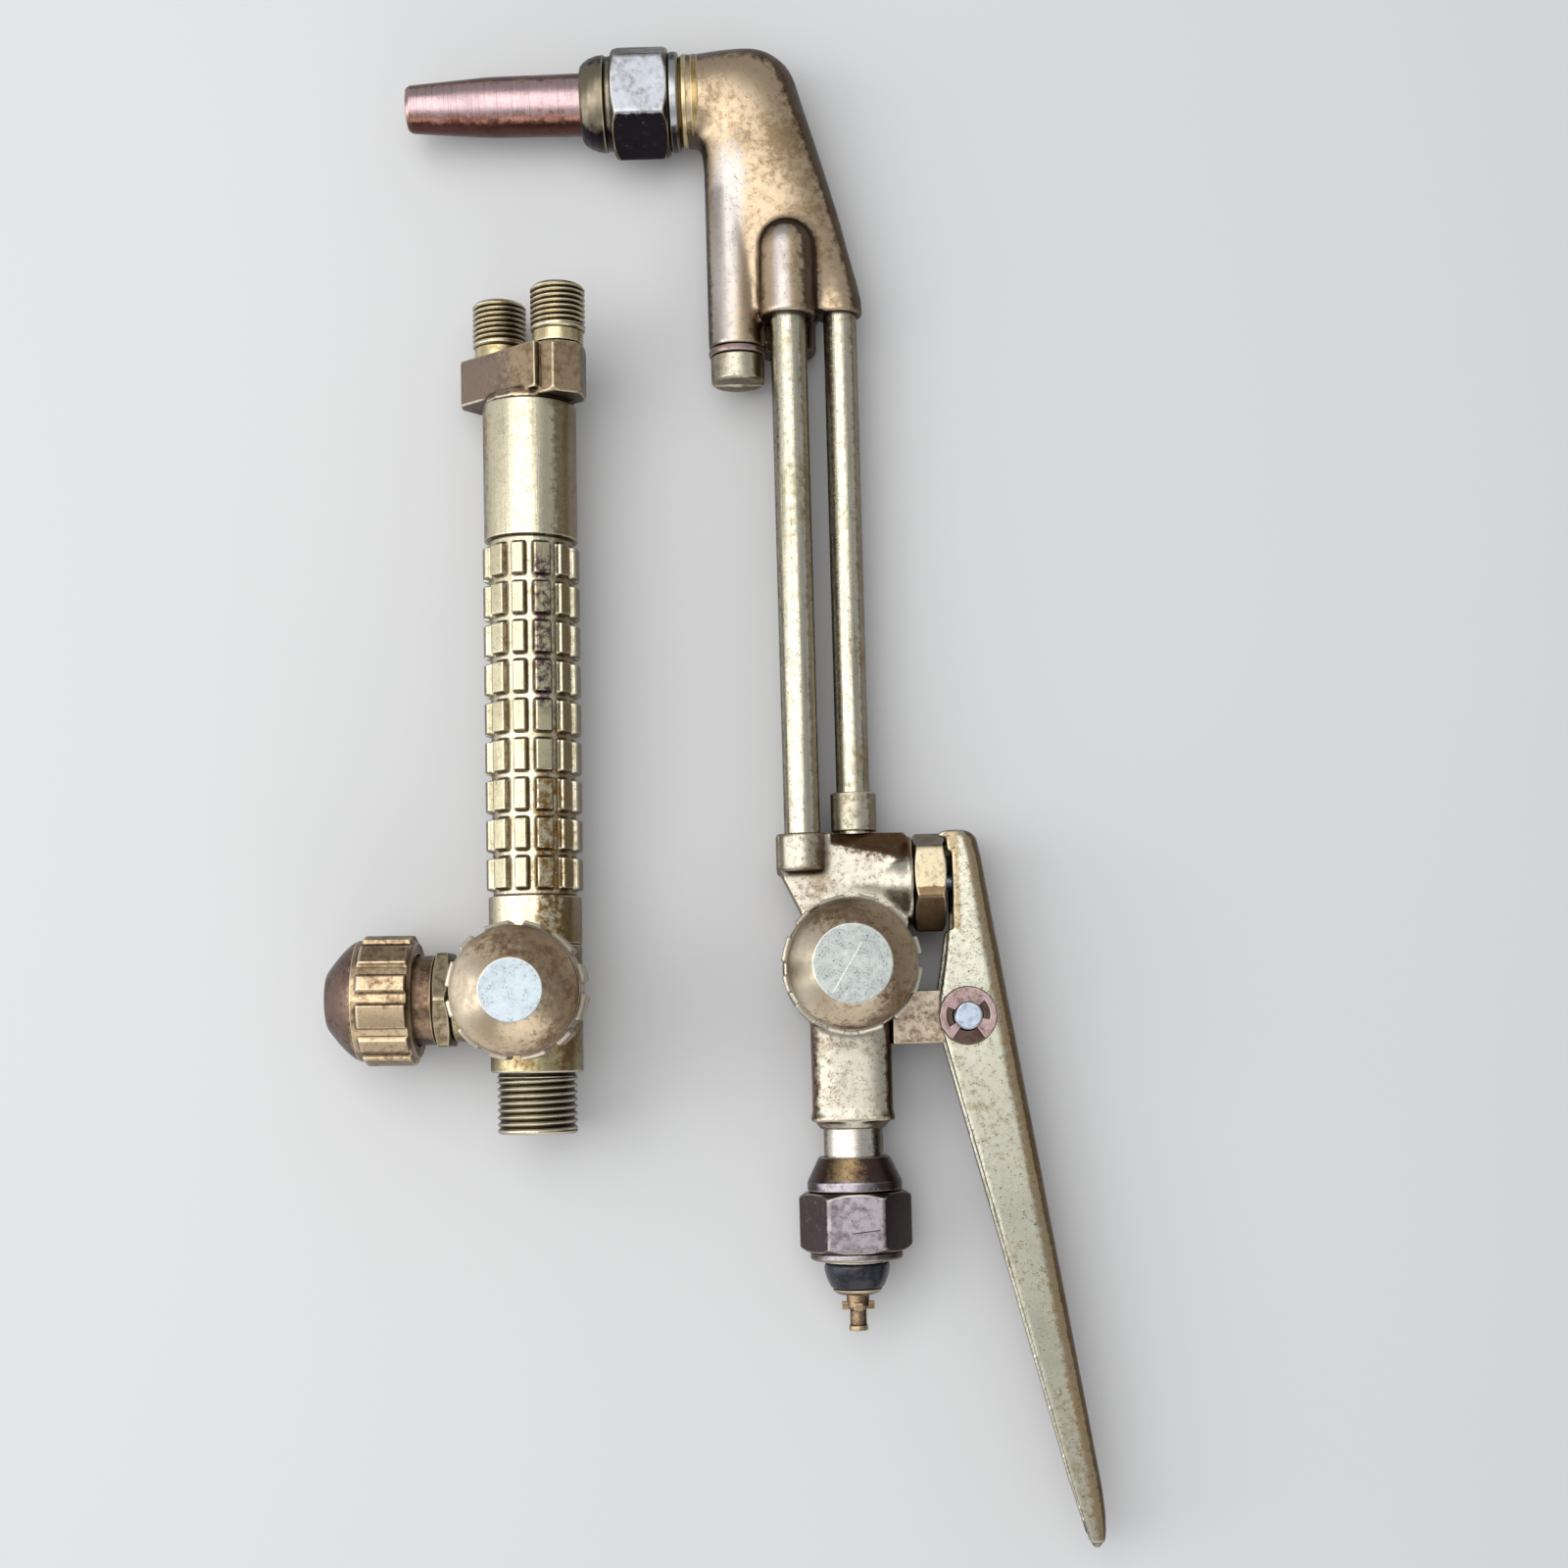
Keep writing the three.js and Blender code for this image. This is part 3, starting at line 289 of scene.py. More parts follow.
def prism(outline, low, high):
    """Upright prism over a convex outline of (x, y) points."""
    rings = [np.array([(x, y, z) for x, y in outline], float) for z in (low, high)]
    return lofted(rings)


def object_of(name, shape):
    points, faces = shape
    mesh = bpy.data.meshes.new(name)
    mesh.from_pydata((points * MM).tolist(), [], faces)
    mesh.update()
    obj = bpy.data.objects.new(name, mesh)
    scene.collection.objects.link(obj)
    return obj


def rows_of(items, name):
    """A value of three numbers for each item of a mesh's list."""
    values = np.empty(len(items) * 3)
    items.foreach_get(name, values)
    return values.reshape(-1, 3)


def settled(obj):
    """Applies an object's modifiers and takes it apart again into points and faces."""
    graph = bpy.context.evaluated_depsgraph_get()
    mesh = bpy.data.meshes.new_from_object(obj.evaluated_get(graph))
    points = rows_of(mesh.vertices, "co") / MM
    faces = [tuple(p.vertices) for p in mesh.polygons]
    bpy.data.objects.remove(obj)
    bpy.data.meshes.remove(mesh)
    return points, faces


def fused(shape, voxel, passes):
    """One skin round overlapping closed shapes, its edges rounded off as on a forging."""
    obj = object_of("fused", shape)
    remesh = obj.modifiers.new("skin", "REMESH")
    remesh.mode = "VOXEL"
    remesh.voxel_size = voxel * MM
    relax = obj.modifiers.new("relax", "SMOOTH")
    relax.factor = 0.5
    relax.iterations = passes
    return settled(obj)


def carved(shape, *tools):
    """Cuts closed tools out of a closed shape."""
    obj = object_of("carved", shape)
    cutters = [object_of("tool", tool) for tool in tools]
    for cutter in cutters:
        cut = obj.modifiers.new("cut", "BOOLEAN")
        cut.operation = "DIFFERENCE"
        cut.object = cutter
        cut.solver = "EXACT"
    result = settled(obj)
    for cutter in cutters:
        bpy.data.objects.remove(cutter)
    return result


def solid_of(node):
    """A CAD node's own shape, with its shared corners merged."""
    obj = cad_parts[node].copy()
    obj.data = obj.data.copy()
    obj.parent = None
    scene.collection.objects.link(obj)
    obj.modifiers.clear()
    weld = obj.modifiers.new("weld", "WELD")
    weld.merge_threshold = 1e-6
    return settled(obj)


def filleted(shape, passes, rate=0.6):
    """Fills the inner corners of a fused skin, outward only, as a forging die leaves them."""
    points, faces = shape
    loops = np.array(faces)
    pairs = np.vstack([loops[:, (k, (k + 1) % 4)] for k in range(4)])
    degree = np.bincount(pairs[:, 0], minlength=len(points)).clip(1)[:, None]
    for step in range(passes):
        if step % 5 == 0:
            diagonals = points[loops[:, 2:]] - points[loops[:, :2]]
            across = np.cross(diagonals[:, 0], diagonals[:, 1])
            normals = gathered(loops.ravel(), np.repeat(across, 4, axis=0), len(points))
            normals /= np.maximum(np.linalg.norm(normals, axis=1, keepdims=True), 1e-9)
        toward = gathered(pairs[:, 0], points[pairs[:, 1]], len(points)) / degree - points
        lift = np.clip(np.einsum("ij,ij->i", toward, normals), 0, None)
        points = points + rate * lift[:, None] * normals
    return points, faces


def gathered(index, rows, count):
    """Sums rows of three values by index."""
    return np.column_stack([np.bincount(index, weights=rows[:, k], minlength=count) for k in range(3)])


def mark_surface(mesh):
    """Stores how far each point stands on an outer edge (+) or in a corner (-), and how much
    painted shade it gets.

    The painted shade darkens the sides that are turned away from the lamps."""
    count = len(mesh.vertices)
    points = rows_of(mesh.vertices, "co") / MM
    normals = rows_of(mesh.vertex_normals, "vector")
    ends = np.empty(len(mesh.edges) * 2, int)
    mesh.edges.foreach_get("vertices", ends)
    a, b = ends.reshape(-1, 2).T
    along = points[b] - points[a]
    length = np.maximum(np.linalg.norm(along, axis=1), 1e-3)
    bend = np.einsum("ij,ij->i", normals[b] - normals[a], along) / length**2
    bend = np.clip(bend, -4, 4)
    degree = np.bincount(ends, minlength=count).clip(1)
    both_ends, both_bends = np.concatenate([a, b]), np.concatenate([bend, bend])
    value = np.bincount(both_ends, weights=both_bends, minlength=count) / degree
    for _ in range(3):
        spread = np.bincount(both_ends, weights=np.concatenate([value[b], value[a]]), minlength=count)
        value = 0.5 * value + 0.5 * spread / degree
    store(mesh, "edge", np.clip(value * SHARP_EDGE, -1, 1))
    # Painted shade: the sides turned away from the lamps take a darker colour
    store(mesh, "side_shade", 1 - smooth(normals @ LIT_SIDE, 0.35, 0.95))


def store(mesh, name, values):
    layer = mesh.attributes.new(name, "FLOAT", "POINT")
    layer.data.foreach_set("value", values.astype(np.float32))


def piece(name, shape, at, finish, nodes=(), body="attachment", zone=None, bare_and_lit=None):
    """A finished piece: placed, smooth, marked, riding on its body and standing for its nodes.

    zone gives the share, from 0 to 1, of the finish's second colour at each point as drawn, which is patina
    on some pieces, painted shade on some and painted highlight on others; the last share gives that of
    bright metal, partly from wear and partly painted highlight."""
    obj = object_of(name, moved(shape, at))
    obj.data.shade_smooth()
    mark_surface(obj.data)
    for layer, share in (("zone", zone), ("bare_and_lit", bare_and_lit)):
        if share:
            store(obj.data, layer, share(shape[0]))
    obj.data.materials.append(FINISHES[finish])
    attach(obj, body)
    if nodes:
        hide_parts(*nodes)
    return obj


def skin(node, shape, at, finish, body="attachment", zone=None, bare_and_lit=None):
    """The usual piece, which stands for one node and is named after it."""
    piece(f"{node}_skin", shape, at, finish, [node], body, zone, bare_and_lit)


# Finishes
def tone(code):
    """Linear colour from a six-digit screen colour."""
    channels = [int(code[i:i + 2], 16) / 255 for i in (0, 2, 4)]
    return (*[c / 12.92 if c <= 0.04045 else ((c + 0.055) / 1.055) ** 2.4 for c in channels], 1.0)


class Finish:
    """A material's node tree, with short calls for the nodes that the finishes share."""

    def __init__(self, name):
        self.material = bpy.data.materials.new(name)
        self.material.use_nodes = True
        self.nodes = self.material.node_tree.nodes
        self.links = self.material.node_tree.links
        self.shader = self.nodes["Principled BSDF"]
        place = self.nodes.new("ShaderNodeTexCoord")
        self.place = self.vector("MULTIPLY", place.outputs["Object"], (1 / MM,) * 3)

    def put(self, socket, value):
        if hasattr(value, "is_linked"):
            self.links.new(value, socket)
        else:
            socket.default_value = value

    def vector(self, operation, one, other=(0, 0, 0), output="Vector"):
        node = self.nodes.new("ShaderNodeVectorMath")
        node.operation = operation
        self.put(node.inputs[0], one)
        self.put(node.inputs[1], other)
        return node.outputs[output]

    def noise(self, scale, detail, roughness, stretch=(1, 1, 1), offset=0.0):
        """Noise whose cells are 1/scale millimetres, drawn out by stretch."""
        node = self.nodes.new("ShaderNodeTexNoise")
        stretched = self.vector("MULTIPLY", self.place, stretch)
        place = self.vector("ADD", stretched, (offset, offset * 0.7, offset * 1.3))
        values = {"Vector": place, "Scale": scale, "Detail": detail, "Roughness": roughness}
        for name, value in values.items():
            self.put(node.inputs[name], value)
        return node.outputs["Fac"]

    def ramp(self, value, low, high, start=0.0, end=1.0):
        node = self.nodes.new("ShaderNodeMapRange")
        node.interpolation_type = "SMOOTHSTEP"
        for socket, amount in zip(node.inputs[:5], (value, low, high, start, end)):
            self.put(socket, amount)
        return node.outputs["Result"]

    def math(self, operation, one, other=0.0):
        node = self.nodes.new("ShaderNodeMath")
        node.operation = operation
        self.put(node.inputs[0], one)
        self.put(node.inputs[1], other)
        return node.outputs["Value"]

    def times(self, one, other):
        return self.math("MULTIPLY", one, other)

    def plus(self, one, other):
        return self.math("ADD", one, other)

    def mix(self, share, one, other):
        node = self.nodes.new("ShaderNodeMix")
        node.data_type = "RGBA"
        for socket, value in zip((0, 6, 7), (share, one, other)):
            self.put(node.inputs[socket], value)
        return node.outputs[2]

    def attribute(self, name):
        node = self.nodes.new("ShaderNodeAttribute")
        node.attribute_name = name
        return node.outputs["Fac"]

    def facing(self):
        """0 where the surface is seen square on, 1 where it is seen edge on."""
        return self.nodes.new("ShaderNodeLayerWeight").outputs["Facing"]

    def near(self, start, end, width, soft_end):
        """1 along a thin line between two places, given in millimetres, and 0 elsewhere."""
        start, end = Vector(start), Vector(end)
        along = (end - start).normalized()
        half = (end - start).length / 2
        offset = self.vector("SUBTRACT", self.place, (start + end) / 2)
        lengthwise = self.math("ABSOLUTE", self.vector("DOT_PRODUCT", offset, along, "Value"))
        sideways = self.vector("LENGTH", self.vector("CROSS_PRODUCT", offset, along), output="Value")
        across = self.ramp(sideways, width * 0.5, width, 1.0, 0.0)
        within = self.ramp(lengthwise, half - soft_end, half, 1.0, 0.0)
        return self.times(across, within)

    def bump(self, height, strength, distance):
        node = self.nodes.new("ShaderNodeBump")
        node.inputs["Strength"].default_value = strength
        node.inputs["Distance"].default_value = distance
        self.put(node.inputs["Height"], height)
        self.put(self.shader.inputs["Normal"], node.outputs["Normal"])

    def painted(self, colour, roughness, metallic):
        for name, value in (("Base Color", colour), ("Roughness", roughness), ("Metallic", metallic)):
            self.put(self.shader.inputs[name], value)
        return self.material


def lit(code):
    """Reflectance at which a metal that faces up shows about this screen colour."""
    return (*[channel / UP_LIGHT for channel in tone(code)[:3]], 1.0)


def metal(name, base, stain, dark, bright, side_shade, zone=None, zoned=0.9, rough=0.34, blotch=0.08,
          stained=0.4, pitted=0.5, wear_and_shine=0.7, grime_and_shade=0.85, side_shaded=0.6, side_shade_from=0.35, edge_on_shade=0.55, grain=None,
          grained=0.15, marks=(), stains=()):
    """Aged metal: blotched colour, painted shade on the sides turned away from the lamps and where the
    surface is seen edge on, pits, corners darkened by dirt and painted shade, edges lightened by wear and
    painted highlight, tool marks.

    Colours are screen colours in the studio's light. blotch counts the blotches to the millimetre, grain
    stretches noise into fine lines, the side shade's start says where the painted shade on the sides
    begins, and the other numbers say, from 0 to 1, how rough the metal is and how strongly each kind of
    wear, painted shade and painted highlight shows."""
    finish = Finish(name)
    wide = finish.noise(blotch, 6.0, 0.62)
    mottle = finish.noise(0.55, 7.0, 0.65, offset=11.0)
    fine = finish.noise(2.6, 6.0, 0.7, offset=23.0)
    edge = finish.attribute("edge")
    uneven = finish.plus(finish.times(mottle, 2.0), -1.0)

    cloud = finish.plus(finish.times(wide, 0.65), finish.times(mottle, 0.35))
    stain_share = finish.ramp(cloud, 0.62 - 0.32 * stained, 0.76 - 0.32 * stained)
    colour = finish.mix(finish.times(stain_share, 0.85), lit(base), lit(stain))
    colour = finish.mix(finish.ramp(mottle, 0.50, 0.72, 0.0, 0.4), colour, lit(stain))
    if zone:
        here = finish.plus(finish.attribute("zone"), uneven)
        colour = finish.mix(finish.ramp(here, 0.25, 0.80, 0.0, zoned), colour, lit(zone))
    # Painted shade on the sides turned away from the lamps
    side = finish.plus(finish.attribute("side_shade"), finish.times(uneven, 0.5))
    colour = finish.mix(finish.ramp(side, side_shade_from, side_shade_from + 0.4, 0.0, side_shaded), colour, lit(side_shade))

    speck = finish.ramp(fine, 0.54, 0.64)
    patch = finish.ramp(mottle, 0.42, 0.58)
    pit_share = finish.times(finish.times(speck, patch), pitted)
    colour = finish.mix(pit_share, colour, lit(dark))
    # Corners and creases darkened: partly dirt, partly painted shade in place of occlusion
    corner = finish.ramp(finish.times(edge, -1.0), 0.04, 0.40, 0.0, grime_and_shade)
    colour = finish.mix(corner, colour, lit(dark))
    # Outer edges lightened: partly wear, partly painted highlight on the edges
    rubbed_and_lit = finish.ramp(edge, 0.20, 0.70, 0.0, wear_and_shine)
    rub_and_glint_share = finish.times(rubbed_and_lit, finish.ramp(mottle, 0.30, 0.52, 0.45, 1.0))
    colour = finish.mix(rub_and_glint_share, colour, lit(bright))
    # Bright metal where the piece marks it: block ends bright from wear, and painted highlight on the knobs'
    # left sides and the lever's upper end
    colour = finish.mix(finish.times(finish.attribute("bare_and_lit"), 0.9), colour, lit(bright))
    # Painted shade where the surface is seen edge on
    colour = finish.mix(finish.ramp(finish.facing(), 0.25, 0.85, 0.0, edge_on_shade), colour, lit(dark))

    height = finish.plus(finish.times(mottle, 0.6), finish.times(fine, 0.4))
    height = finish.plus(height, finish.times(pit_share, -0.6))
    if grain:
        lines = finish.noise(1.0, 3.0, 0.75, stretch=grain, offset=5.0)
        colour = finish.mix(finish.ramp(lines, 0.50, 0.68, 0.0, grained), colour, lit(dark))
        height = finish.plus(height, finish.times(lines, 0.8))
    soiled = finish.ramp(mottle, 0.40, 0.60)
    for streaks, soft_end, cover in ((stains, 6.0, soiled), (marks, 0.5, 1.0)):
        for start, end, width, code in streaks:
            share = finish.times(finish.near(start, end, width, soft_end), cover)
            colour = finish.mix(share, colour, lit(code))

    roughness = finish.ramp(cloud, 0.35, 0.68, rough - 0.07, rough + 0.12)
    roughness = finish.plus(roughness, finish.times(pit_share, 0.25))
    finish.bump(height, 0.4, 0.00014)
    return finish.painted(colour, roughness, 1.0)


def soft_stuff(name, base, wear_and_shine, rough):
    """Rubber or packing: one colour with faint mottling and soft edges."""
    finish = Finish(name)
    mottle = finish.noise(0.8, 5.0, 0.6)
    # Edges lightened: partly wear, partly painted highlight
    rubbed_and_lit = finish.ramp(finish.attribute("edge"), 0.2, 0.8, 0.0, 0.4)
    share = finish.plus(finish.ramp(mottle, 0.4, 0.7, 0.0, 0.5), rubbed_and_lit)
    roughness = finish.ramp(mottle, 0.3, 0.7, rough - 0.08, rough + 0.1)
    finish.bump(mottle, 0.2, 0.00008)
    return finish.painted(finish.mix(share, tone(base), tone(wear_and_shine)), roughness, 0.0)


# Fine lines round a piece that lies along X or Y, and along one that lies along Y
AROUND_X, AROUND_Y, ALONG_Y = (3.5, 0.05, 0.05), (0.05, 3.5, 0.05), (1.6, 0.03, 1.6)
# Marks and stains: the two ends of a line, its width and its colour
TUBE_NICK = ((25.6, 3.8, 24.2), (27.2, 1.8, 24.6), 0.45, "2c2118")
KNOB_SCRATCH = ((31.6, -53.2, 57.0), (39.4, -40.4, 57.0), 0.16, "f2eee0")
NUT_SCRATCH = ((35.6, -115.4, 26.2), (43.2, -114.6, 26.2), 0.18, "40333a")
GRIP_STAINS = (((-40.5, 20, 29), (-40.0, 66, 29), 3.2, "6e5258"),
               ((-40.0, -40, 28.6), (-39.6, 10, 28.6), 5.5, "9c7840"))
FINISHES = {
    # The tip's zone colour is a painted highlight along its top
    "tip": metal("tip_copper", "cc9684", "98624e", "4a2a26", "fcd4bc", "4c2826", zone="eed6dc", zoned=0.7,
                 rough=0.3, blotch=0.06, stained=0.45, pitted=0.3, side_shaded=0.85, side_shade_from=0.15,
                 grain=AROUND_X, grained=0.4),
    "tip_nut": metal("tip_nut_bronze", "cccfd6", "a2a09c", "1c1614", "f8e6b0", "261e28", zone="9a8c70",
                     pitted=0.3, side_shaded=0.97, side_shade_from=0.14),
    "union_nut": metal("union_nut_bronze", "beb6bc", "988a8e", "1f1714", "f8ecd2", "5c484a", zone="dcb882",
                       stained=0.5, side_shaded=0.95, side_shade_from=0.0, marks=(NUT_SCRATCH,)),
    # The head's zone colour is painted highlight along the mixer barrel and the upper tube's boss
    "head": metal("head_bronze", "e6cdac", "b29672", "2e2018", "fbecd0", "4c3426", zone="e0dad8",
                  zoned=0.75, rough=0.36, blotch=0.05, side_shaded=0.85, side_shade_from=0.2, edge_on_shade=0.8),
    # The body's zone colour is painted shade on its upper shoulder and the stem's sides
    "body": metal("body_brass", "e0d8c6", "bca88c", "4c3421", "f8e8c4", "7c5230", zone="644628",
                  rough=0.33, blotch=0.06, pitted=0.9, side_shaded=0.75, side_shade_from=0.25),
    "tube": metal("tube_brass", "efe9d2", "c9b68e", "3c2c18", "fbf4da", "7c6444", rough=0.27, blotch=0.05,
                  stained=0.35, pitted=0.6, side_shaded=0.7, grain=ALONG_Y, grained=0.35, marks=(TUBE_NICK,)),
    "knob": metal("knob_bronze", "ffe6c2", "ae8c6a", "2c1e16", "fff4dc", "8c6c52", zone="c0cad0",
                  zoned=1.0, rough=0.36, blotch=0.09, stained=0.45, grime_and_shade=0.7, side_shade_from=0.2, edge_on_shade=0.2),
    # The side knob's zone colour is painted shade over its dome
    "side_knob": metal("side_knob_bronze", "f0d4ac", "927050", "2c1e16", "fff4dc", "5a4030", zone="826862",
                       rough=0.36, blotch=0.09, stained=0.45, pitted=0.7, grime_and_shade=0.7, side_shade_from=0.2,
                       edge_on_shade=0.25),
    "preheat_knob": metal("preheat_knob_bronze", "ffe8c8", "c09c78", "2c1e16", "fff8e2", "7c5e3c",
                          zone="c2c8c4", zoned=1.0, rough=0.36, blotch=0.09, pitted=0.9, grime_and_shade=0.7,
                          side_shaded=0.7, side_shade_from=0.25, edge_on_shade=0.2, marks=(KNOB_SCRATCH,)),
    "gland": metal("gland_bronze", "b89c80", "7c6350", "241812", "f0d8a8", "3c2a1c", rough=0.36,
                   blotch=0.09, stained=0.5),
    # The nut's zone colour is painted shade on the gland nut's facet turned towards -y
    "nut": metal("nut_brass", "fcecc6", "cab080", "45301a", "fff6dc", "6e5028", zone="7c5a34", zoned=0.85,
                 rough=0.32, stained=0.35, pitted=0.4, side_shaded=0.85, side_shade_from=0.2),
    "bonnet": metal("bonnet_brass", "ccbc9c", "968462", "2a1c10", "fff0d0", "6a5430", rough=0.33,
                    stained=0.5, side_shaded=0.8, side_shade_from=0.2),
    "nipple": metal("nipple_brass", "e8caa4", "bc9a74", "54382a", "fcead0", "846044", rough=0.32,
                    blotch=0.1, pitted=0.4),
    "ring": metal("collar_bronze", "ceb078", "967a50", "2a1c12", "fbe8b4", "644c2c", pitted=0.4,
                  wear_and_shine=0.85),
    "plug": metal("plug_brass", "eae2cc", "bcac8e", "4a3826", "f8ecca", "7a603c", rough=0.38, blotch=0.09,
                  pitted=0.8, side_shaded=0.75),
    # The lever's zone colour is tan-brown along its edge and painted shade towards its lower end
    "lever": metal("lever_brass", "e8e5d0", "c4b794", "3e2c1a", "fffbe2", "5a4020", zone="c4a272",
                   zoned=0.7, blotch=0.05, pitted=1.0, side_shaded=0.8),
    "lug": metal("lug_bronze", "e4d2ba", "9c8468", "3c2a20", "f0e0c0", "746048", rough=0.42, blotch=0.1,
                 stained=0.5, pitted=1.0),
    "grip": metal("grip_brass", "fdf3d4", "e2cc98", "4a3420", "fffceb", "84693e", zone="e6dcb6", zoned=0.8,
                  rough=0.29, blotch=0.05, pitted=0.6, side_shaded=0.7, grain=ALONG_Y, grained=0.2,
                  stains=GRIP_STAINS),
    "block": metal("inlet_bronze", "d2b896", "94785c", "2c1e1a", "fff2d2", "4a382c", zone="8e7e7e",
                   zoned=0.65, rough=0.38, stained=0.5, pitted=0.55, wear_and_shine=0.9),
    "housing": metal("housing_brass", "e4d4a4", "b09060", "1e140c", "fff8e2", "5c4022", zone="fff2d0",
                     rough=0.33, blotch=0.09, stained=0.5, pitted=0.8, wear_and_shine=0.95, grime_and_shade=0.95, side_shaded=0.4),
    "thread": metal("thread_brass", "fbe8b6", "ccb078", "20160e", "fff6dc", "664e2c", rough=0.3,
                    pitted=0.4, wear_and_shine=0.95, grime_and_shade=0.95, side_shaded=0.4, edge_on_shade=0.3),
    "neck": metal("neck_brass", "faf4e6", "d4c8b0", "54402a", "fbf0d0", "58401f", rough=0.29, blotch=0.09,
                  stained=0.35, pitted=0.4, side_shaded=0.7, grain=AROUND_Y, grained=0.2),
    "steel": metal("pin_steel", "d6e2f2", "b0bacc", "3a3c46", "f8fbff", "6a6e7a", blotch=0.12, pitted=0.3),
    "clip": metal("clip_copper", "cfb2ae", "a2827c", "3a2622", "f0dcd2", "74544c", rough=0.42, blotch=0.2,
                  stained=0.45, pitted=0.8),
    "washer": metal("washer_bronze", "6a5450", "4a3838", "1e1614", "a08878", "4a3520", rough=0.45,
                    blotch=0.2, stained=0.5),
    "seal": soft_stuff("seal_rubber", "1c1d24", "40424c", 0.28),
    "packing": soft_stuff("packing_white", "c8c2b0", "dcd8ca", 0.6),
}


# Cutting attachment
def from_axis(points):
    return np.hypot(*points[:, :2].T)


def outward(points, at, way):
    """How far each point of a turned piece lies out from its axis, in a direction of the frame."""
    local = at.to_3x3().inverted() @ Vector(way)
    return points[:, :2] @ np.array(local[:2])


def painted_highlight_on_tip(points):
    """Painted highlight along the top of the tip, where it faces up."""
    r = from_axis(points)
    return smooth(outward(points, AT_NOZZLE, (0, 0, 1)) / np.maximum(r, 1), 0.60, 1.0) * (r > 4.5)


def make_tip():
    profile = [(0, TIP_REAR), (4.4, TIP_REAR), (8.1, 50.9), (9.5, 50.9), (9.5, 54.2), (7.8, 56.2),
               (7.8, 65.5), (7.5, 89), (7.3, 92), (6, TIP_FACE - 1), (5.4, TIP_FACE), (1.4, TIP_FACE),
               (1.2, TIP_FACE - 0.2), (1.2, TIP_FACE - 14), (0, TIP_FACE - 14)]
    body = turned(profile, rounding=0.35)
    drill = turned([(0, TIP_FACE - 8), (PREHEAT_BORE, TIP_FACE - 8), (PREHEAT_BORE, TIP_FACE + 1),
                    (0, TIP_FACE + 1)], around=16, rounding=0.0)
    holes = []
    for i in range(PREHEAT_HOLES):
        angle = TAU * i / PREHEAT_HOLES
        holes.append(moved(drill, shift(PREHEAT_CIRCLE * math.cos(angle), PREHEAT_CIRCLE * math.sin(angle))))
    skin("cutting_tip", carved(body, *holes), AT_NOZZLE, "tip", zone=painted_highlight_on_tip)

    nut = bored_nut([(8.1, 50), (11.0, 50), (11.0, 38.6), (12.0, 38.6), (12.4, 39.1), (12.4, 40.8),
                     (11.9, 41.4), (13.2, 41.4), (15.8, 43.0), (15.8, 54.6), (13.2, 56.2), (11.9, 56.2),
                     (11.6, 57.8), (12.1, 58.4), (11.9, 60.2), (11.2, 62.3), (10.2, 63.9), (9.4, 64.6),
                     (8.1, 64.6)], NUT_FLATS)
    skin("tip_nut", nut, AT_NOZZLE, "tip_nut",
         zone=lambda points: smooth(points[:, 2], 56.0, 57.0))


def head_stations():
    """Cross sections of the forging from the collar round to the lower end of the neck.

    Each has the place of its inner edge, the place of its outer edge, half its height and its power."""
    rows = np.array([
        [-34.4, 220.1, -34.4, 243.3, 11.6, 2.0],
        [-33.9, 219.6, -26.0, 244.2, 11.6, 2.1],
        [-33.5, 218.9, -18.0, 244.2, 11.4, 2.2],
        [-33.2, 218.0, -12.6, 242.0, 11.2, 2.2],
        [-33.0, 217.0, -8.6, 237.4, 11.0, 2.3],
        [-32.7, 214.5, -5.5, 227.6, 10.3, 2.4],
        [-32.5, 208.0, -0.6, 211.5, 9.0, 2.5],
        [-32.5, 198.0, 3.2, 198.0, 7.8, 2.5],
        [-32.5, 186.0, 5.9, 186.0, 6.8, 2.4],
        [-32.5, 173.9, 8.0, 173.9, 6.3, 2.4],
    ])
    places = np.linspace(0, len(rows) - 1, 73)
    smoothed = []
    for place in places:
        i = min(int(place), len(rows) - 2)
        share = place - i
        p0, p1, p2, p3 = (rows[max(0, min(len(rows) - 1, i + k))] for k in (-1, 0, 1, 2))
        smoothed.append(0.5 * (2 * p1 + (p2 - p0) * share + (2 * p0 - 5 * p1 + 4 * p2 - p3) * share**2
                               + (3 * p1 - p0 - 3 * p2 + p3) * share**3))
    return smoothed


def highlight_of_head(points):
    """The silvery runs along the mixer barrel and along the upper tube's boss."""
    x, y, z = points.T
    barrel = 1 - smooth(np.abs(x + 26.8 - 0.08 * (y - 200)), 1.5, 7.0)
    barrel *= smooth(z, 1.0, 5.0) * (1 - smooth(y, 205, 228))
    boss = (1 - smooth(np.abs(x - PAIR_X + 1.4), 0.8, 3.4)) * smooth(z, PAIR_Z + 5.4, PAIR_Z + 6.6)
    return np.maximum(barrel, boss)


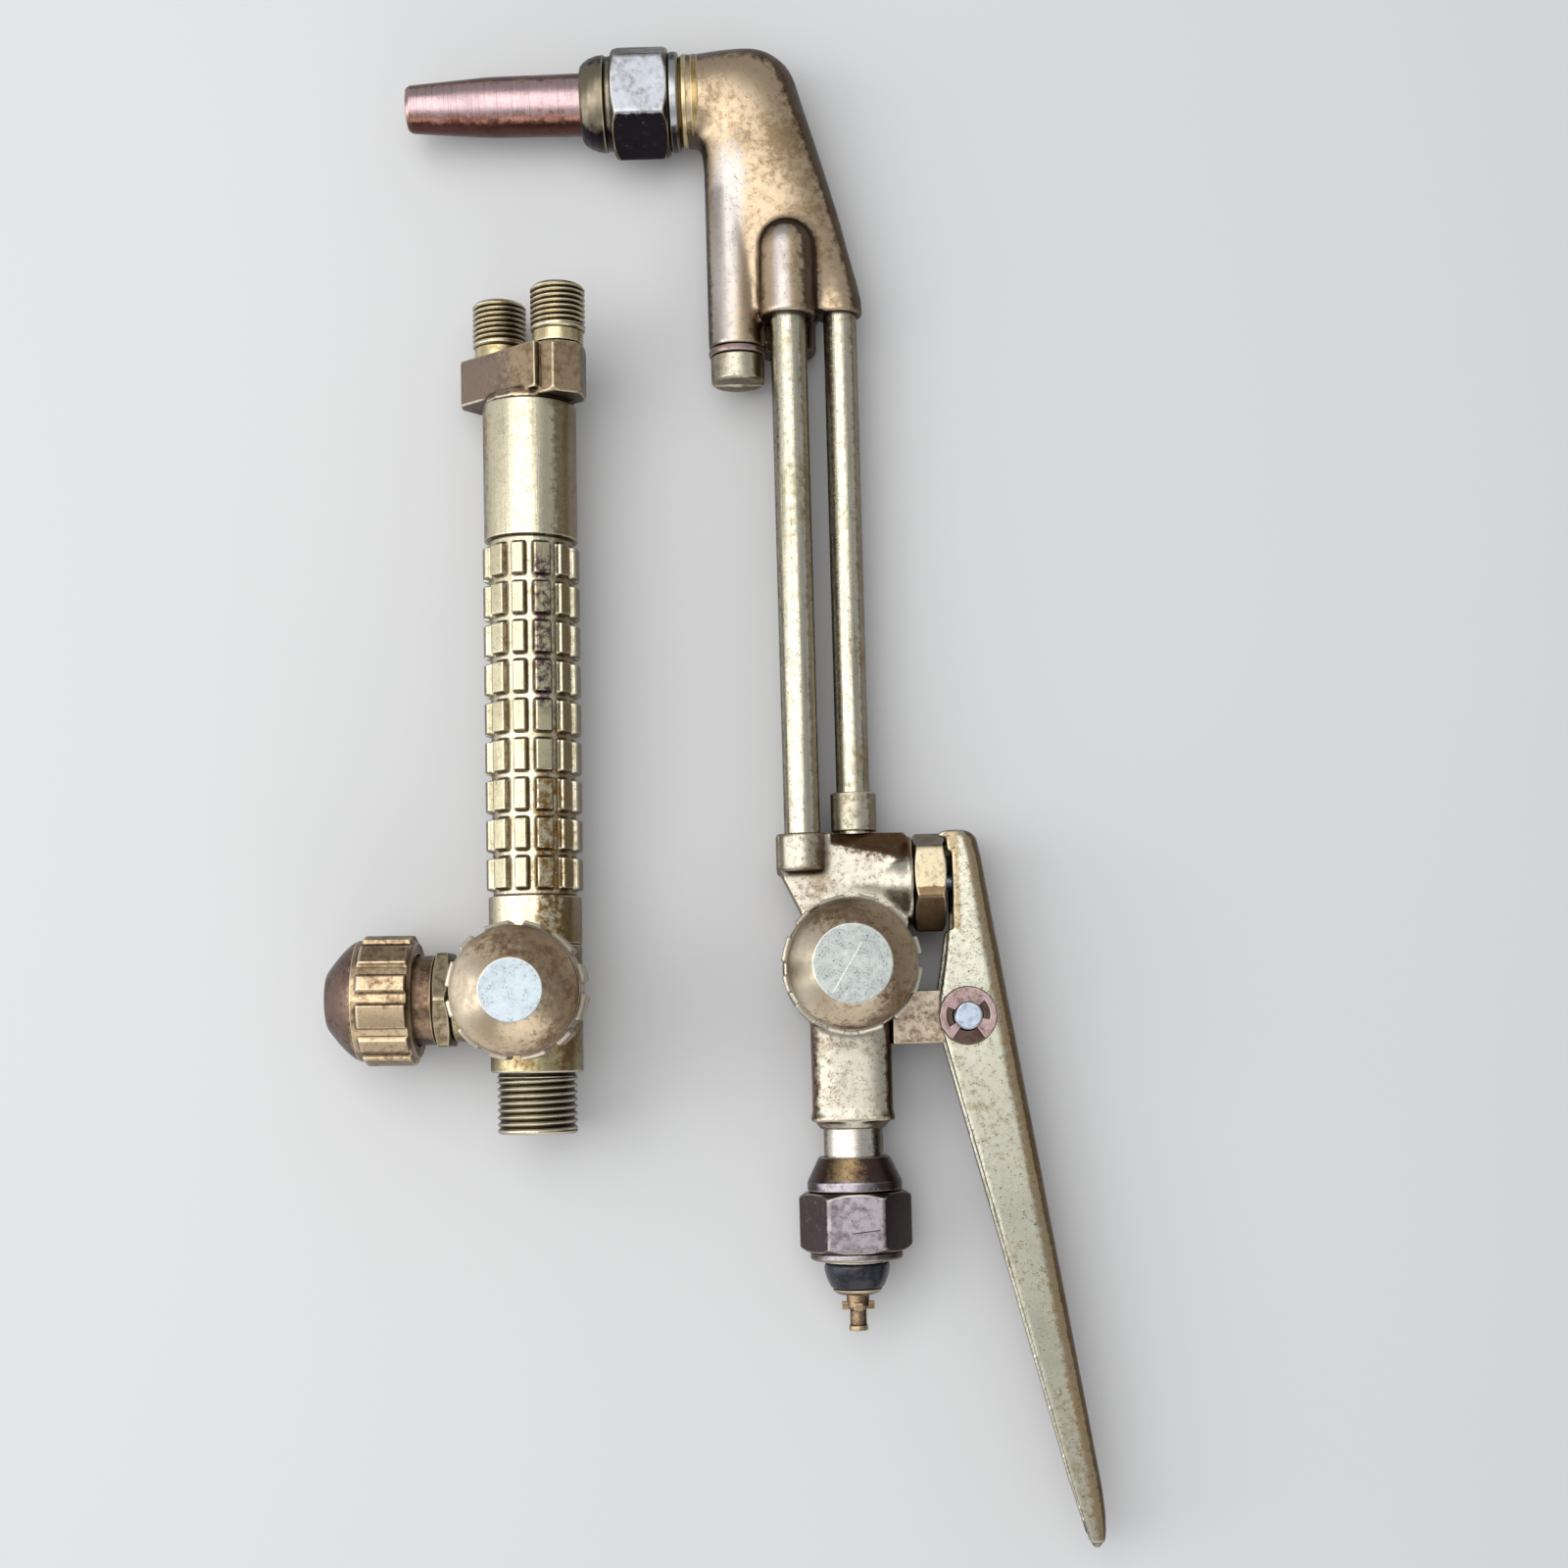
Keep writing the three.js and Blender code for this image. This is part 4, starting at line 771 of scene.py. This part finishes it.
def make_head():
    rings = []
    for station in head_stations():
        inner, outer, (half, power) = np.split(station, 3)
        outline = soft_rectangle(power)
        flat = (inner + outer) / 2 + outline[:, :1] * (outer - inner) / 2
        rings.append(np.column_stack([flat, half * outline[:, 1]]))
    barrel = moved(turned([(0, 165.3), (MIXER_R, 165.3), (MIXER_R, 222), (0, 222)], rounding=0.5),
                   shift(x=MIXER_X) @ AIM["+y"])

    def pair_boss(z, bottom):
        r = 7.4
        dome = [(r * math.cos(a), 190 + r * math.sin(a)) for a in np.linspace(0, math.pi / 2, 9)]
        return moved(turned([(0, bottom), (r - 0.6, bottom), (r, bottom + 0.8), *dome[:-1], (0, 190 + r)]),
                     shift(x=PAIR_X, z=z) @ AIM["+y"])

    right_boss = moved(turned([(0, 173.2), (5.9, 173.2), (6.5, 174), (6.2, 178), (5.2, 182.5), (3.4, 189.5),
                               (1.2, 199), (0, 200)]), shift(x=CUTTING_X - 0.5) @ AIM["+y"])
    collar = moved(turned([(0, 30), (11.2, 30), (11.65, 34), (11.65, 37.4), (11.2, 37.9), (10.7, 37.9),
                           (10.7, 42), (0, 42)]), shift(y=NOZZLE_Y) @ AIM["-x"])
    parts = joined(lofted(rings), barrel, pair_boss(PAIR_Z, 171.5), pair_boss(-PAIR_Z, 165), right_boss,
                   collar)
    skin("torch_head", filleted(fused(parts, 0.42, 5), 35), AT_ATTACHMENT, "head",
         zone=highlight_of_head)
    collar_rings = bored([(10.4, 33.2), (11.5, 33.2), (11.75, 33.6), (11.75, 35.2), (11.35, 35.6),
                          (11.35, 36.2), (11.75, 36.6), (11.75, 37.6), (11.3, 38.0), (10.4, 38.0)],
                         rounding=0.15)
    piece("head_collar_rings", collar_rings, AT_NOZZLE, "ring")

    at_mixer = AT_ATTACHMENT @ shift(x=MIXER_X) @ AIM["+y"]
    gasket = bored([(5.9, 163.3), (7.4, 163.3), (7.6, 164.15), (7.4, 165), (5.9, 165)])
    piece("mixer_gasket_skin", gasket, at_mixer, "clip", ["mixer_plug_gasket"])
    plug = turned([(0, 156), (6.5, 156), (7.1, 156.6), (7.1, 163), (5.3, 163), (5.3, 173.6), (0, 173.6)],
                  rounding=0.4)
    slot = prism([(-9, -0.8), (9, -0.8), (9, 0.8), (-9, 0.8)], 155, 158)
    skin("mixer_plug", carved(plug, slot), at_mixer, "plug")


def make_tubes():
    def tube(name, node, r, x, z, top):
        shape = bored([(r - 1.1, 28.4), (r, 28.4), (r, top), (r - 1.1, top)], rounding=0.2, step=12)
        at = AT_ATTACHMENT @ shift(x=x, z=z) @ AIM["+y"]
        piece(f"{name}_tube_skin", shape, at, "tube", [node])

    tube("upper", "preheat_oxygen_tube", PAIR_R, PAIR_X, PAIR_Z, 181.6)
    tube("lower", "fuel_gas_tube", PAIR_R, PAIR_X, -PAIR_Z, 181.6)
    tube("right", "cutting_oxygen_tube", CUTTING_R, CUTTING_X, 0, 183.6)
    ferrule = bored([(4.7, 36.2), (6.05, 36.2), (6.05, 46.4), (4.7, 46.4)], rounding=0.4)
    piece("ferrule_skin", ferrule, AT_ATTACHMENT @ shift(x=CUTTING_X) @ AIM["+y"], "plug",
          ["cutting_tube_ferrule"])


def make_body():
    plate = prism([(-18.3, 27.2), (-16.6, 23.6), (-12.4, 15), (-11.8, 1.6), (6, -0.8), (15.8, 10),
                   (15.8, 35.5), (-18.3, 35.5)], -BODY_FACE, BODY_FACE)

    def shoulder(side):
        rings = [np.array([(x, 31.5 - (x + 4) * 0.22, side * 9.6), (x, 38, side * 9.6), (x, 38, side * 1.5)])
                 for x in (-4, 19)]
        return lofted(rings)

    disc = turned([(0, -BODY_FACE), (DISC_R - 1, -BODY_FACE), (DISC_R, -BODY_FACE + 1),
                   (DISC_R, DISC_TOP - 0.6), (DISC_R - 0.6, DISC_TOP), (0, DISC_TOP)])
    side_boss = moved(turned([(0, 0), (9, 0), (9.2, 9), (10.6, 13), (BOSS_R, 16), (BOSS_R, BOSS_FACE),
                              (0, BOSS_FACE)]), shift(y=CUTTING_Y) @ AIM["+x"])
    tube_boss = turned([(0, 25.4), (6.4, 25.4), (6.9, 25.9), (6.9, BODY_TOP - 0.5), (6.4, BODY_TOP),
                        (0, BODY_TOP)])
    tube_bosses = [moved(tube_boss, shift(x=PAIR_X - 0.2, z=z) @ AIM["+y"]) for z in (PAIR_Z, -PAIR_Z)]
    rings = []
    for y, half in ((4, 10.7), (38.6, 10.7), (39.4, 11.2), (40.5, 11.1)):
        outline = soft_rectangle(4.5)
        rings.append(np.column_stack([half * outline[:, 0], (half - 1) * outline[:, 1],
                                      np.full(len(outline), y)]))
    stem = moved(lofted(rings), AIM["-y"])
    stem_end = moved(turned([(0, 38), (10, 38), (10, 40.5), (8.7, 42.6), (0, 42.6)]), AIM["-y"])
    parts = joined(carved(plate, shoulder(1), shoulder(-1)), disc, side_boss, *tube_bosses, stem, stem_end)

    # Painted shade on the shoulder that slopes away from the lamps and on the stem's rounded sides
    def shaded_shoulder_and_stem_sides(points):
        x, y, _ = points.T
        shoulder = smooth(y - (31.5 - (x + 4) * 0.22), -2.5, 2.5) * smooth(x, -5, 0) * (x < 19)
        stem_edges = smooth(np.abs(x), 7.4, 9.6) * (1 - smooth(y, -19, -15))
        return np.maximum(shoulder, 0.6 * stem_edges)

    skin("valve_body", filleted(fused(parts, 0.4, 5), 14), AT_ATTACHMENT, "body",
         zone=shaded_shoulder_and_stem_sides)


def knob_shape(r, dome_r, flat_r, shaded_dome):
    """Domed knob over its gland, with blocks round its drum, and the places of its second colour and
    its bright metal. An upright knob has its patina on the flat, and painted highlight on the dome's
    left side beside block ends bright from wear; a knob on its side has painted shade over its dome.
    """
    drum = r - BLOCK_HIGH

    def high(h):
        risen = smooth(h, BLOCK_FROM - 0.3, BLOCK_FROM + 0.2)
        return BLOCK_HIGH * float(risen * (1 - smooth(h, BLOCK_TO - 0.2, BLOCK_TO + 0.3)))

    dome = [(dome_r + (flat_r - dome_r) * share, RIM_TO + (KNOB_HIGH - RIM_TO) * share**0.72)
            for share in np.linspace(0.04, 1, 12)]
    profile = [(0, 0), (GLAND_RECESS, 0), (GLAND_RECESS, KNOB_BASE), (drum - 0.9, KNOB_BASE),
               *line(drum, BLOCK_FROM - 0.1, RIM_TO - 0.1, 0.28), (drum - 0.25, RIM_TO + 0.15), *dome,
               (0, KNOB_HIGH)]
    shape = turned(profile, blocks(drum, high, WIDE_BLOCK, NARROW_BLOCK), around=360, rounding=0.2,
                   step=1.0)

    def flat(points):
        return (1 - smooth(from_axis(points), flat_r - 0.4, flat_r + 0.6)) * (points[:, 2] > RIM_TO)

    def block_ends(points):
        high_up = smooth(points[:, 2], BLOCK_TO - 1.0, BLOCK_TO - 0.2)
        return smooth(from_axis(points), drum + 0.15, drum + 0.5) * high_up

    # Block ends bright from wear, and painted highlight on the dome's side towards the lamps, to the left
    def rubbed_and_lit(points):
        side = smooth(-points[:, 0] / np.maximum(from_axis(points), 1), 0.55, 0.95)
        return np.maximum(block_ends(points), 0.6 * side * (1 - flat(points)) * (points[:, 2] > RIM_TO))

    # Painted shade over the dome of the knob that lies on its side
    def shade_on_dome(points):
        return smooth(points[:, 2], RIM_TO + 0.1, RIM_TO + 0.8)

    return (shape, shade_on_dome, block_ends) if shaded_dome else (shape, flat, rubbed_and_lit)


def make_needle_valve(name, body, at, sizes, knob_finish):
    knob, patina, rubbed_and_lit = knob_shape(*sizes, knob_finish == "side_knob")
    skin(f"{name}_knob", knob, at @ shift(z=KNOB_FROM), knob_finish, f"{name}_knob", zone=patina,
         bare_and_lit=rubbed_and_lit)
    bonnet = bored_nut([(3.9, -8.6), (7.7, -8.6), (7.7, 0), (12.2, 0), (14.6, 0.8), (14.6, 3.4),
                        (12.2, 4.2), (8, 4.2), (8, 7), (3.9, 7)],
                       BONNET_FLATS, 30, around=180, rounding=0.2)
    skin(f"{name}_bonnet", bonnet, at, "bonnet", body)
    gland = bored([(8.3, 4.5), (11.8, 4.5), (11.8, 11.3), (11.2, 11.9), (3.9, 11.9), (3.9, 9.7),
                   (8.3, 9.7)])
    skin(f"{name}_gland", gland, at, "gland", body)


def make_cutting_valve():
    nut = bored_nut([(6.9, 12.4), (8.7, 12.4), (8.7, 17.7), (11.8, 17.7), (14.2, 18.7), (14.2, 24.9),
                     (11.8, 25.9), (2.5, 25.9), (2.5, 21.6), (6.9, 21.6)],
                    GLAND_FLATS, GLAND_TURN, rounding=0.2)
    # Painted shade on the nut's facet turned towards -y
    skin("cutting_gland_nut", nut, AT_GLAND, "nut",
         zone=lambda points: smooth(outward(points, AT_GLAND, (0, -1, 0)), 1.2, 2.4))
    stem = turned([(0, -1.6), (1.2, -1.6), (4.6, 1.4), (4.6, 3.4), (2.2, 3.4), (2.2, 30.6), (4.4, 30.6),
                   (4.6, 31), (4.6, 32.6), (3.8, 33.2), (0, 33.2)])
    piece("cutting_stem_skin", stem, AT_GLAND, "steel", ["cutting_valve_stem"], "cutting_stem")
    around = np.linspace(0, TAU, 10, endpoint=False)[:, None]
    coil = []
    for share in np.linspace(0, 1, 24 * SPRING_TURNS + 1):
        angle = SPRING_TURNS * TAU * share
        out = np.array([math.cos(angle), math.sin(angle), 0])
        middle = SPRING_R * out + np.array([0, 0, SPRING_FROM + share * (SPRING_TO - SPRING_FROM)])
        coil.append(middle + WIRE_R * (np.cos(around) * out + np.sin(around) * np.array([0, 0, 1])))
    spring = piece("cutting_spring_skin", lofted(coil), AT_GLAND, "steel",
                   ["cutting_valve_spring"])
    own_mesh(spring)


def make_tail():
    neck = bored([(3, 33.3), (7.9, 33.3), (7.9, 58.4), (10.4, 58.4), (10.4, 62), (8.4, 64), (8.6, 78.1),
                  (6.2, 78.1), (6.2, 76), (3, 76)])
    skin("tail_tube", neck, AT_TAIL, "neck")
    seal = bored([(5, 78.4), (8.55, 78.4), (8.75, 79.2), (8.6, 80.6), (8.1, 82.4), (7.4, 84), (6.9, 84.9),
                  (5, 84.9)], rounding=0.4)
    skin("tail_seal", seal, AT_TAIL, "seal")
    nose = bored([(3.4, 76.3), (4.7, 76.3), (4.7, 85.2), (6.7, 85.2), (6.2, 85.9), (5.1, 86.6),
                  (3.4, 86.6)], rounding=0.2)
    skin("tail_nose", nose, AT_TAIL, "nipple")
    nipple = bored([(1.1, 70), (2.7, 70), (2.7, 86.6), (3, 86.9), (3, 90), (2.2, 91), (2.2, 94.8),
                    (2.5, 95.2), (2.5, 96.4), (1.1, 96.4)], rounding=0.2)
    bar = prism([(-1.2, -4.4), (1.2, -4.4), (1.2, 4.4), (-1.2, 4.4)], 88.8, 90.8)
    crossed = joined(nipple, fused(joined(bar, moved(bar, turn("Z", 90))), 0.15, 3))
    skin("tail_nipple", crossed, AT_TAIL, "gland")
    nut = bored_nut([(8.2, 50), (9.4, 50), (12.3, 56), (12.6, 56.6), (12.6, 58.8), (12, 59.4), (13.2, 59.4),
                     (15.8, 61.0), (15.8, 73.4), (13.2, 75), (12, 75), (12.3, 75.6), (12.3, 76.8),
                     (11.9, 77.3), (10.95, 77.3), (10.95, 58), (8.2, 58)], NUT_FLATS, 90)
    skin("union_nut", nut, AT_TAIL, "union_nut", "union_nut",
         zone=lambda points: 1 - smooth(points[:, 2], 55.6, 56.4))


def on_lever(points):
    """Places on the attachment, and how far each lies outside the lever's slanting outer edge."""
    x, y = points[:, 0] - ATTACHMENT[0], points[:, 1] - ATTACHMENT[1]
    return x, y, x - LEVER_EDGE + LEVER_TAPER * y


def edge_band_and_shaded_end_of_lever(points):
    """Tan-brown along the lever's outer edge and on the slope inside its upper end, and painted shade
    towards its lower end.
    """
    x, y, outside = on_lever(points)
    inner_slope = (1 - smooth(x, 28.6, 30.4)) * smooth(y, 7, 11)
    return np.maximum(np.maximum(smooth(outside, -6.0, -2.2), inner_slope), 0.5 * smooth(-y, 90, 190))


def highlight_on_upper_end_of_lever(points):
    """Painted highlight on the end above the pivot."""
    x, y, outside = on_lever(points)
    return 0.6 * smooth(y, -12, 8) * (1 - smooth(outside, -7.0, -4.0)) * smooth(x, 29, 31)


def make_lever():
    skin("cutting_lever", fused(solid_of("cutting_lever"), 0.36, 9), AS_DRAWN, "lever",
         "lever", zone=edge_band_and_shaded_end_of_lever, bare_and_lit=highlight_on_upper_end_of_lever)
    skin("pivot_lug", fused(solid_of("pivot_lug"), 0.3, 5), AS_DRAWN, "lug")
    piece("e_clip_skin", fused(solid_of("pivot_e_clip"), 0.11, 3), AS_DRAWN, "clip",
          ["pivot_e_clip"])
    at_pivot = AT_ATTACHMENT @ shift(PIVOT_X, PIVOT_Y)
    foot = -ATTACHMENT[2]
    pin = turned([(0, foot), (4.9, foot), (5.5, foot + 0.6), (5.5, -9.8), (3.75, -9.8), (3.75, 10.4),
                  (3.1, 10.4), (3.1, 12.0), (3.75, 12.0), (3.75, 12.4), (3.3, 12.9), (0, 12.9)],
                 rounding=0.2)
    piece("pivot_pin_skin", pin, at_pivot, "steel", ["lever_pivot_pin"])
    washer = bored([(4.05, 9.7), (7.7, 9.7), (7.7, 10.4), (4.05, 10.4)], rounding=0.15)
    skin("pivot_washer", washer, at_pivot, "washer")


# Valve handle
def make_housing():
    thread = threaded(10.6, -34.9, -20.4, 1.85, 0.85)
    profile = [(0, -26), (5.5, -26.4), (7.4, -27.4), (9.2, -34), (9.2, -35.5), (10, -35.5),
               *line(10.6, -34.8, -20.4, 0.15), (10.1, -20.0), (10.1, -19.3), (11.9, -19.3),
               (12.2, -18.9), (12.2, 14.1), (9.7, 14.1), (9.7, 20), (0, 20)]
    main = turned(profile, thread, around=160, rounding=0.15)
    boss = turned([(0, 0), (11, 0), (11, BOSS_TOP), (0, BOSS_TOP)], rounding=0.4)
    shape = joined(moved(main, AIM["+y"]), moved(boss, AIM["-x"]), moved(boss, shift(y=UP_VALVE)))
    skin("valve_housing", shape, AT_HANDLE, "housing", "handle",
         zone=lambda points: 1 - smooth(points[:, 1], -20.2, -19.4))


def make_grip():
    knurl_to = KNURL_FROM + RINGS * RING_PITCH
    block_high = KNURL_R - GROOVE_R

    def high(h):
        if h < KNURL_FROM - 0.5 or h > knurl_to - (RING_PITCH - RING_LONG) + 0.5:
            return 0.0
        along = (h - KNURL_FROM + 0.5) % RING_PITCH - 0.5
        risen = smooth(along, -0.25, 0.25)
        return block_high * float(risen * (1 - smooth(along, RING_LONG - 0.25, RING_LONG + 0.25)))

    def block_faces(points):
        within = (points[:, 2] > KNURL_FROM - 1) & (points[:, 2] < knurl_to)
        return smooth(from_axis(points), KNURL_R - 0.9, KNURL_R - 0.5) * within

    barrel = bored([(10, 14.4), (BARREL_R, 14.4), (BARREL_R, KNURL_FROM - 1.8),
                    (GROOVE_R, KNURL_FROM - 1.6), *line(GROOVE_R, KNURL_FROM - 1.2, knurl_to - 0.2, 0.25),
                    (BARREL_R, knurl_to + 0.2), (BARREL_R, 155.8), (10, 155.8)],
                   blocks(GROOVE_R, high, WIDE_KNURL, NARROW_KNURL, KNURL_TURN),
                   around=300, rounding=0.2, step=6)
    skin("handle_barrel", barrel, AT_GRIP, "grip", "handle", zone=block_faces)


def make_inlet():
    skin("inlet_block", fused(solid_of("inlet_block"), 0.32, 4), AS_DRAWN, "block", "handle",
         zone=lambda points: 1 - smooth(points[:, 0] - HANDLE[0], -9, 6))
    slope = math.radians(INLET_SLOPE)
    thread = threaded(7.15, 174.4, 184.8, 1.41, 0.75)
    shape = bored([(2.4, 162.6), (5.1, 162.6), (5.1, 170.3), (6.6, 170.3), (6.6, 173.6), (7.1, 174.1),
                   *line(7.15, 174.3, 184.6, 0.12), (6.35, 185.5), (5, 185.5), (2.4, 181.5)], thread,
                  around=120, rounding=0.15)
    for name, side in (("fuel", -1), ("oxygen", 1)):
        across = side * INLET_CENTRE * math.cos(slope)
        up = side * INLET_CENTRE * math.sin(slope)
        piece(f"{name}_nipple_skin", shape, AT_HANDLE @ shift(across, 0, up) @ AIM["+y"], "thread",
              [f"{name}_inlet_nipple"], "handle")


def finish_hidden_nodes():
    """Gives the pieces inside, which keep their solids, the finish of their metal."""
    inside = {
        "nut": ["mixer"],
        "steel": ["preheat_spindle", "oxygen_spindle", "fuel_spindle"],
        "clip": ["handle_fuel_tube", "handle_oxygen_tube"],
        "packing": ["preheat_packing", "oxygen_packing", "fuel_packing", "cutting_valve_packing",
                    "cutting_valve_seat"],
    }
    for finish, nodes in inside.items():
        for node in nodes:
            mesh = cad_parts[node].data
            mesh.materials.clear()
            mesh.materials.append(FINISHES[finish])


# Floor, lamps and camera
def lamp(name, place, size, power):
    """A soft panel that faces the middle of the floor."""
    light = bpy.data.lights.new(name, "AREA")
    light.shape = "RECTANGLE"
    light.size, light.size_y = size
    light.energy = power
    obj = bpy.data.objects.new(name, light)
    obj.location = place
    obj.rotation_euler = (-Vector(place)).to_track_quat("-Z", "Y").to_euler()
    scene.collection.objects.link(obj)


def make_stage():
    bpy.ops.mesh.primitive_plane_add(size=8.0)
    floor = bpy.context.object
    floor.name = "floor"
    pale = bpy.data.materials.new("pale_floor")
    pale.use_nodes = True
    shader = pale.node_tree.nodes["Principled BSDF"]
    shader.inputs["Base Color"].default_value = tone("dedede")
    shader.inputs["Roughness"].default_value = 0.9
    floor.data.materials.append(pale)

    world = bpy.data.worlds.new("studio")
    world.use_nodes = True
    sky = world.node_tree.nodes["Background"].inputs
    sky["Color"].default_value = (0.95, 0.97, 1.0, 1)
    sky["Strength"].default_value = 0.42
    scene.world = world
    lamp("key", (-0.25, 0.18, 0.95), (1.0, 1.0), 5.8)
    lamp("left", (-1.2, -0.1, 0.5), (0.9, 1.6), 8.0)
    lamp("front", (0.1, -1.1, 0.5), (1.4, 0.6), 2.4)


def make_camera():
    camera = bpy.data.objects.new("camera", bpy.data.cameras.new("camera"))
    camera.location = (0.02296, -0.06152, 0.600)
    camera.rotation_euler = (0, 0, math.radians(-1.6))
    camera.data.lens = 50.6
    camera.data.shift_x, camera.data.shift_y = -0.009, 0.156
    camera.data.clip_start = 0.05
    scene.collection.objects.link(camera)
    scene.camera = camera


make_tip()
make_head()
make_tubes()
make_body()
make_needle_valve("preheat", "attachment", AT_PREHEAT, ATTACHMENT_KNOB, "preheat_knob")
make_cutting_valve()
make_tail()
make_lever()
make_housing()
make_grip()
make_inlet()
make_needle_valve("oxygen", "handle", AT_SIDE_VALVE, HANDLE_KNOB, "side_knob")
make_needle_valve("fuel", "handle", AT_UP_VALVE, HANDLE_KNOB, "knob")
finish_hidden_nodes()
make_stage()
make_camera()
scene.view_settings.view_transform = "Standard"
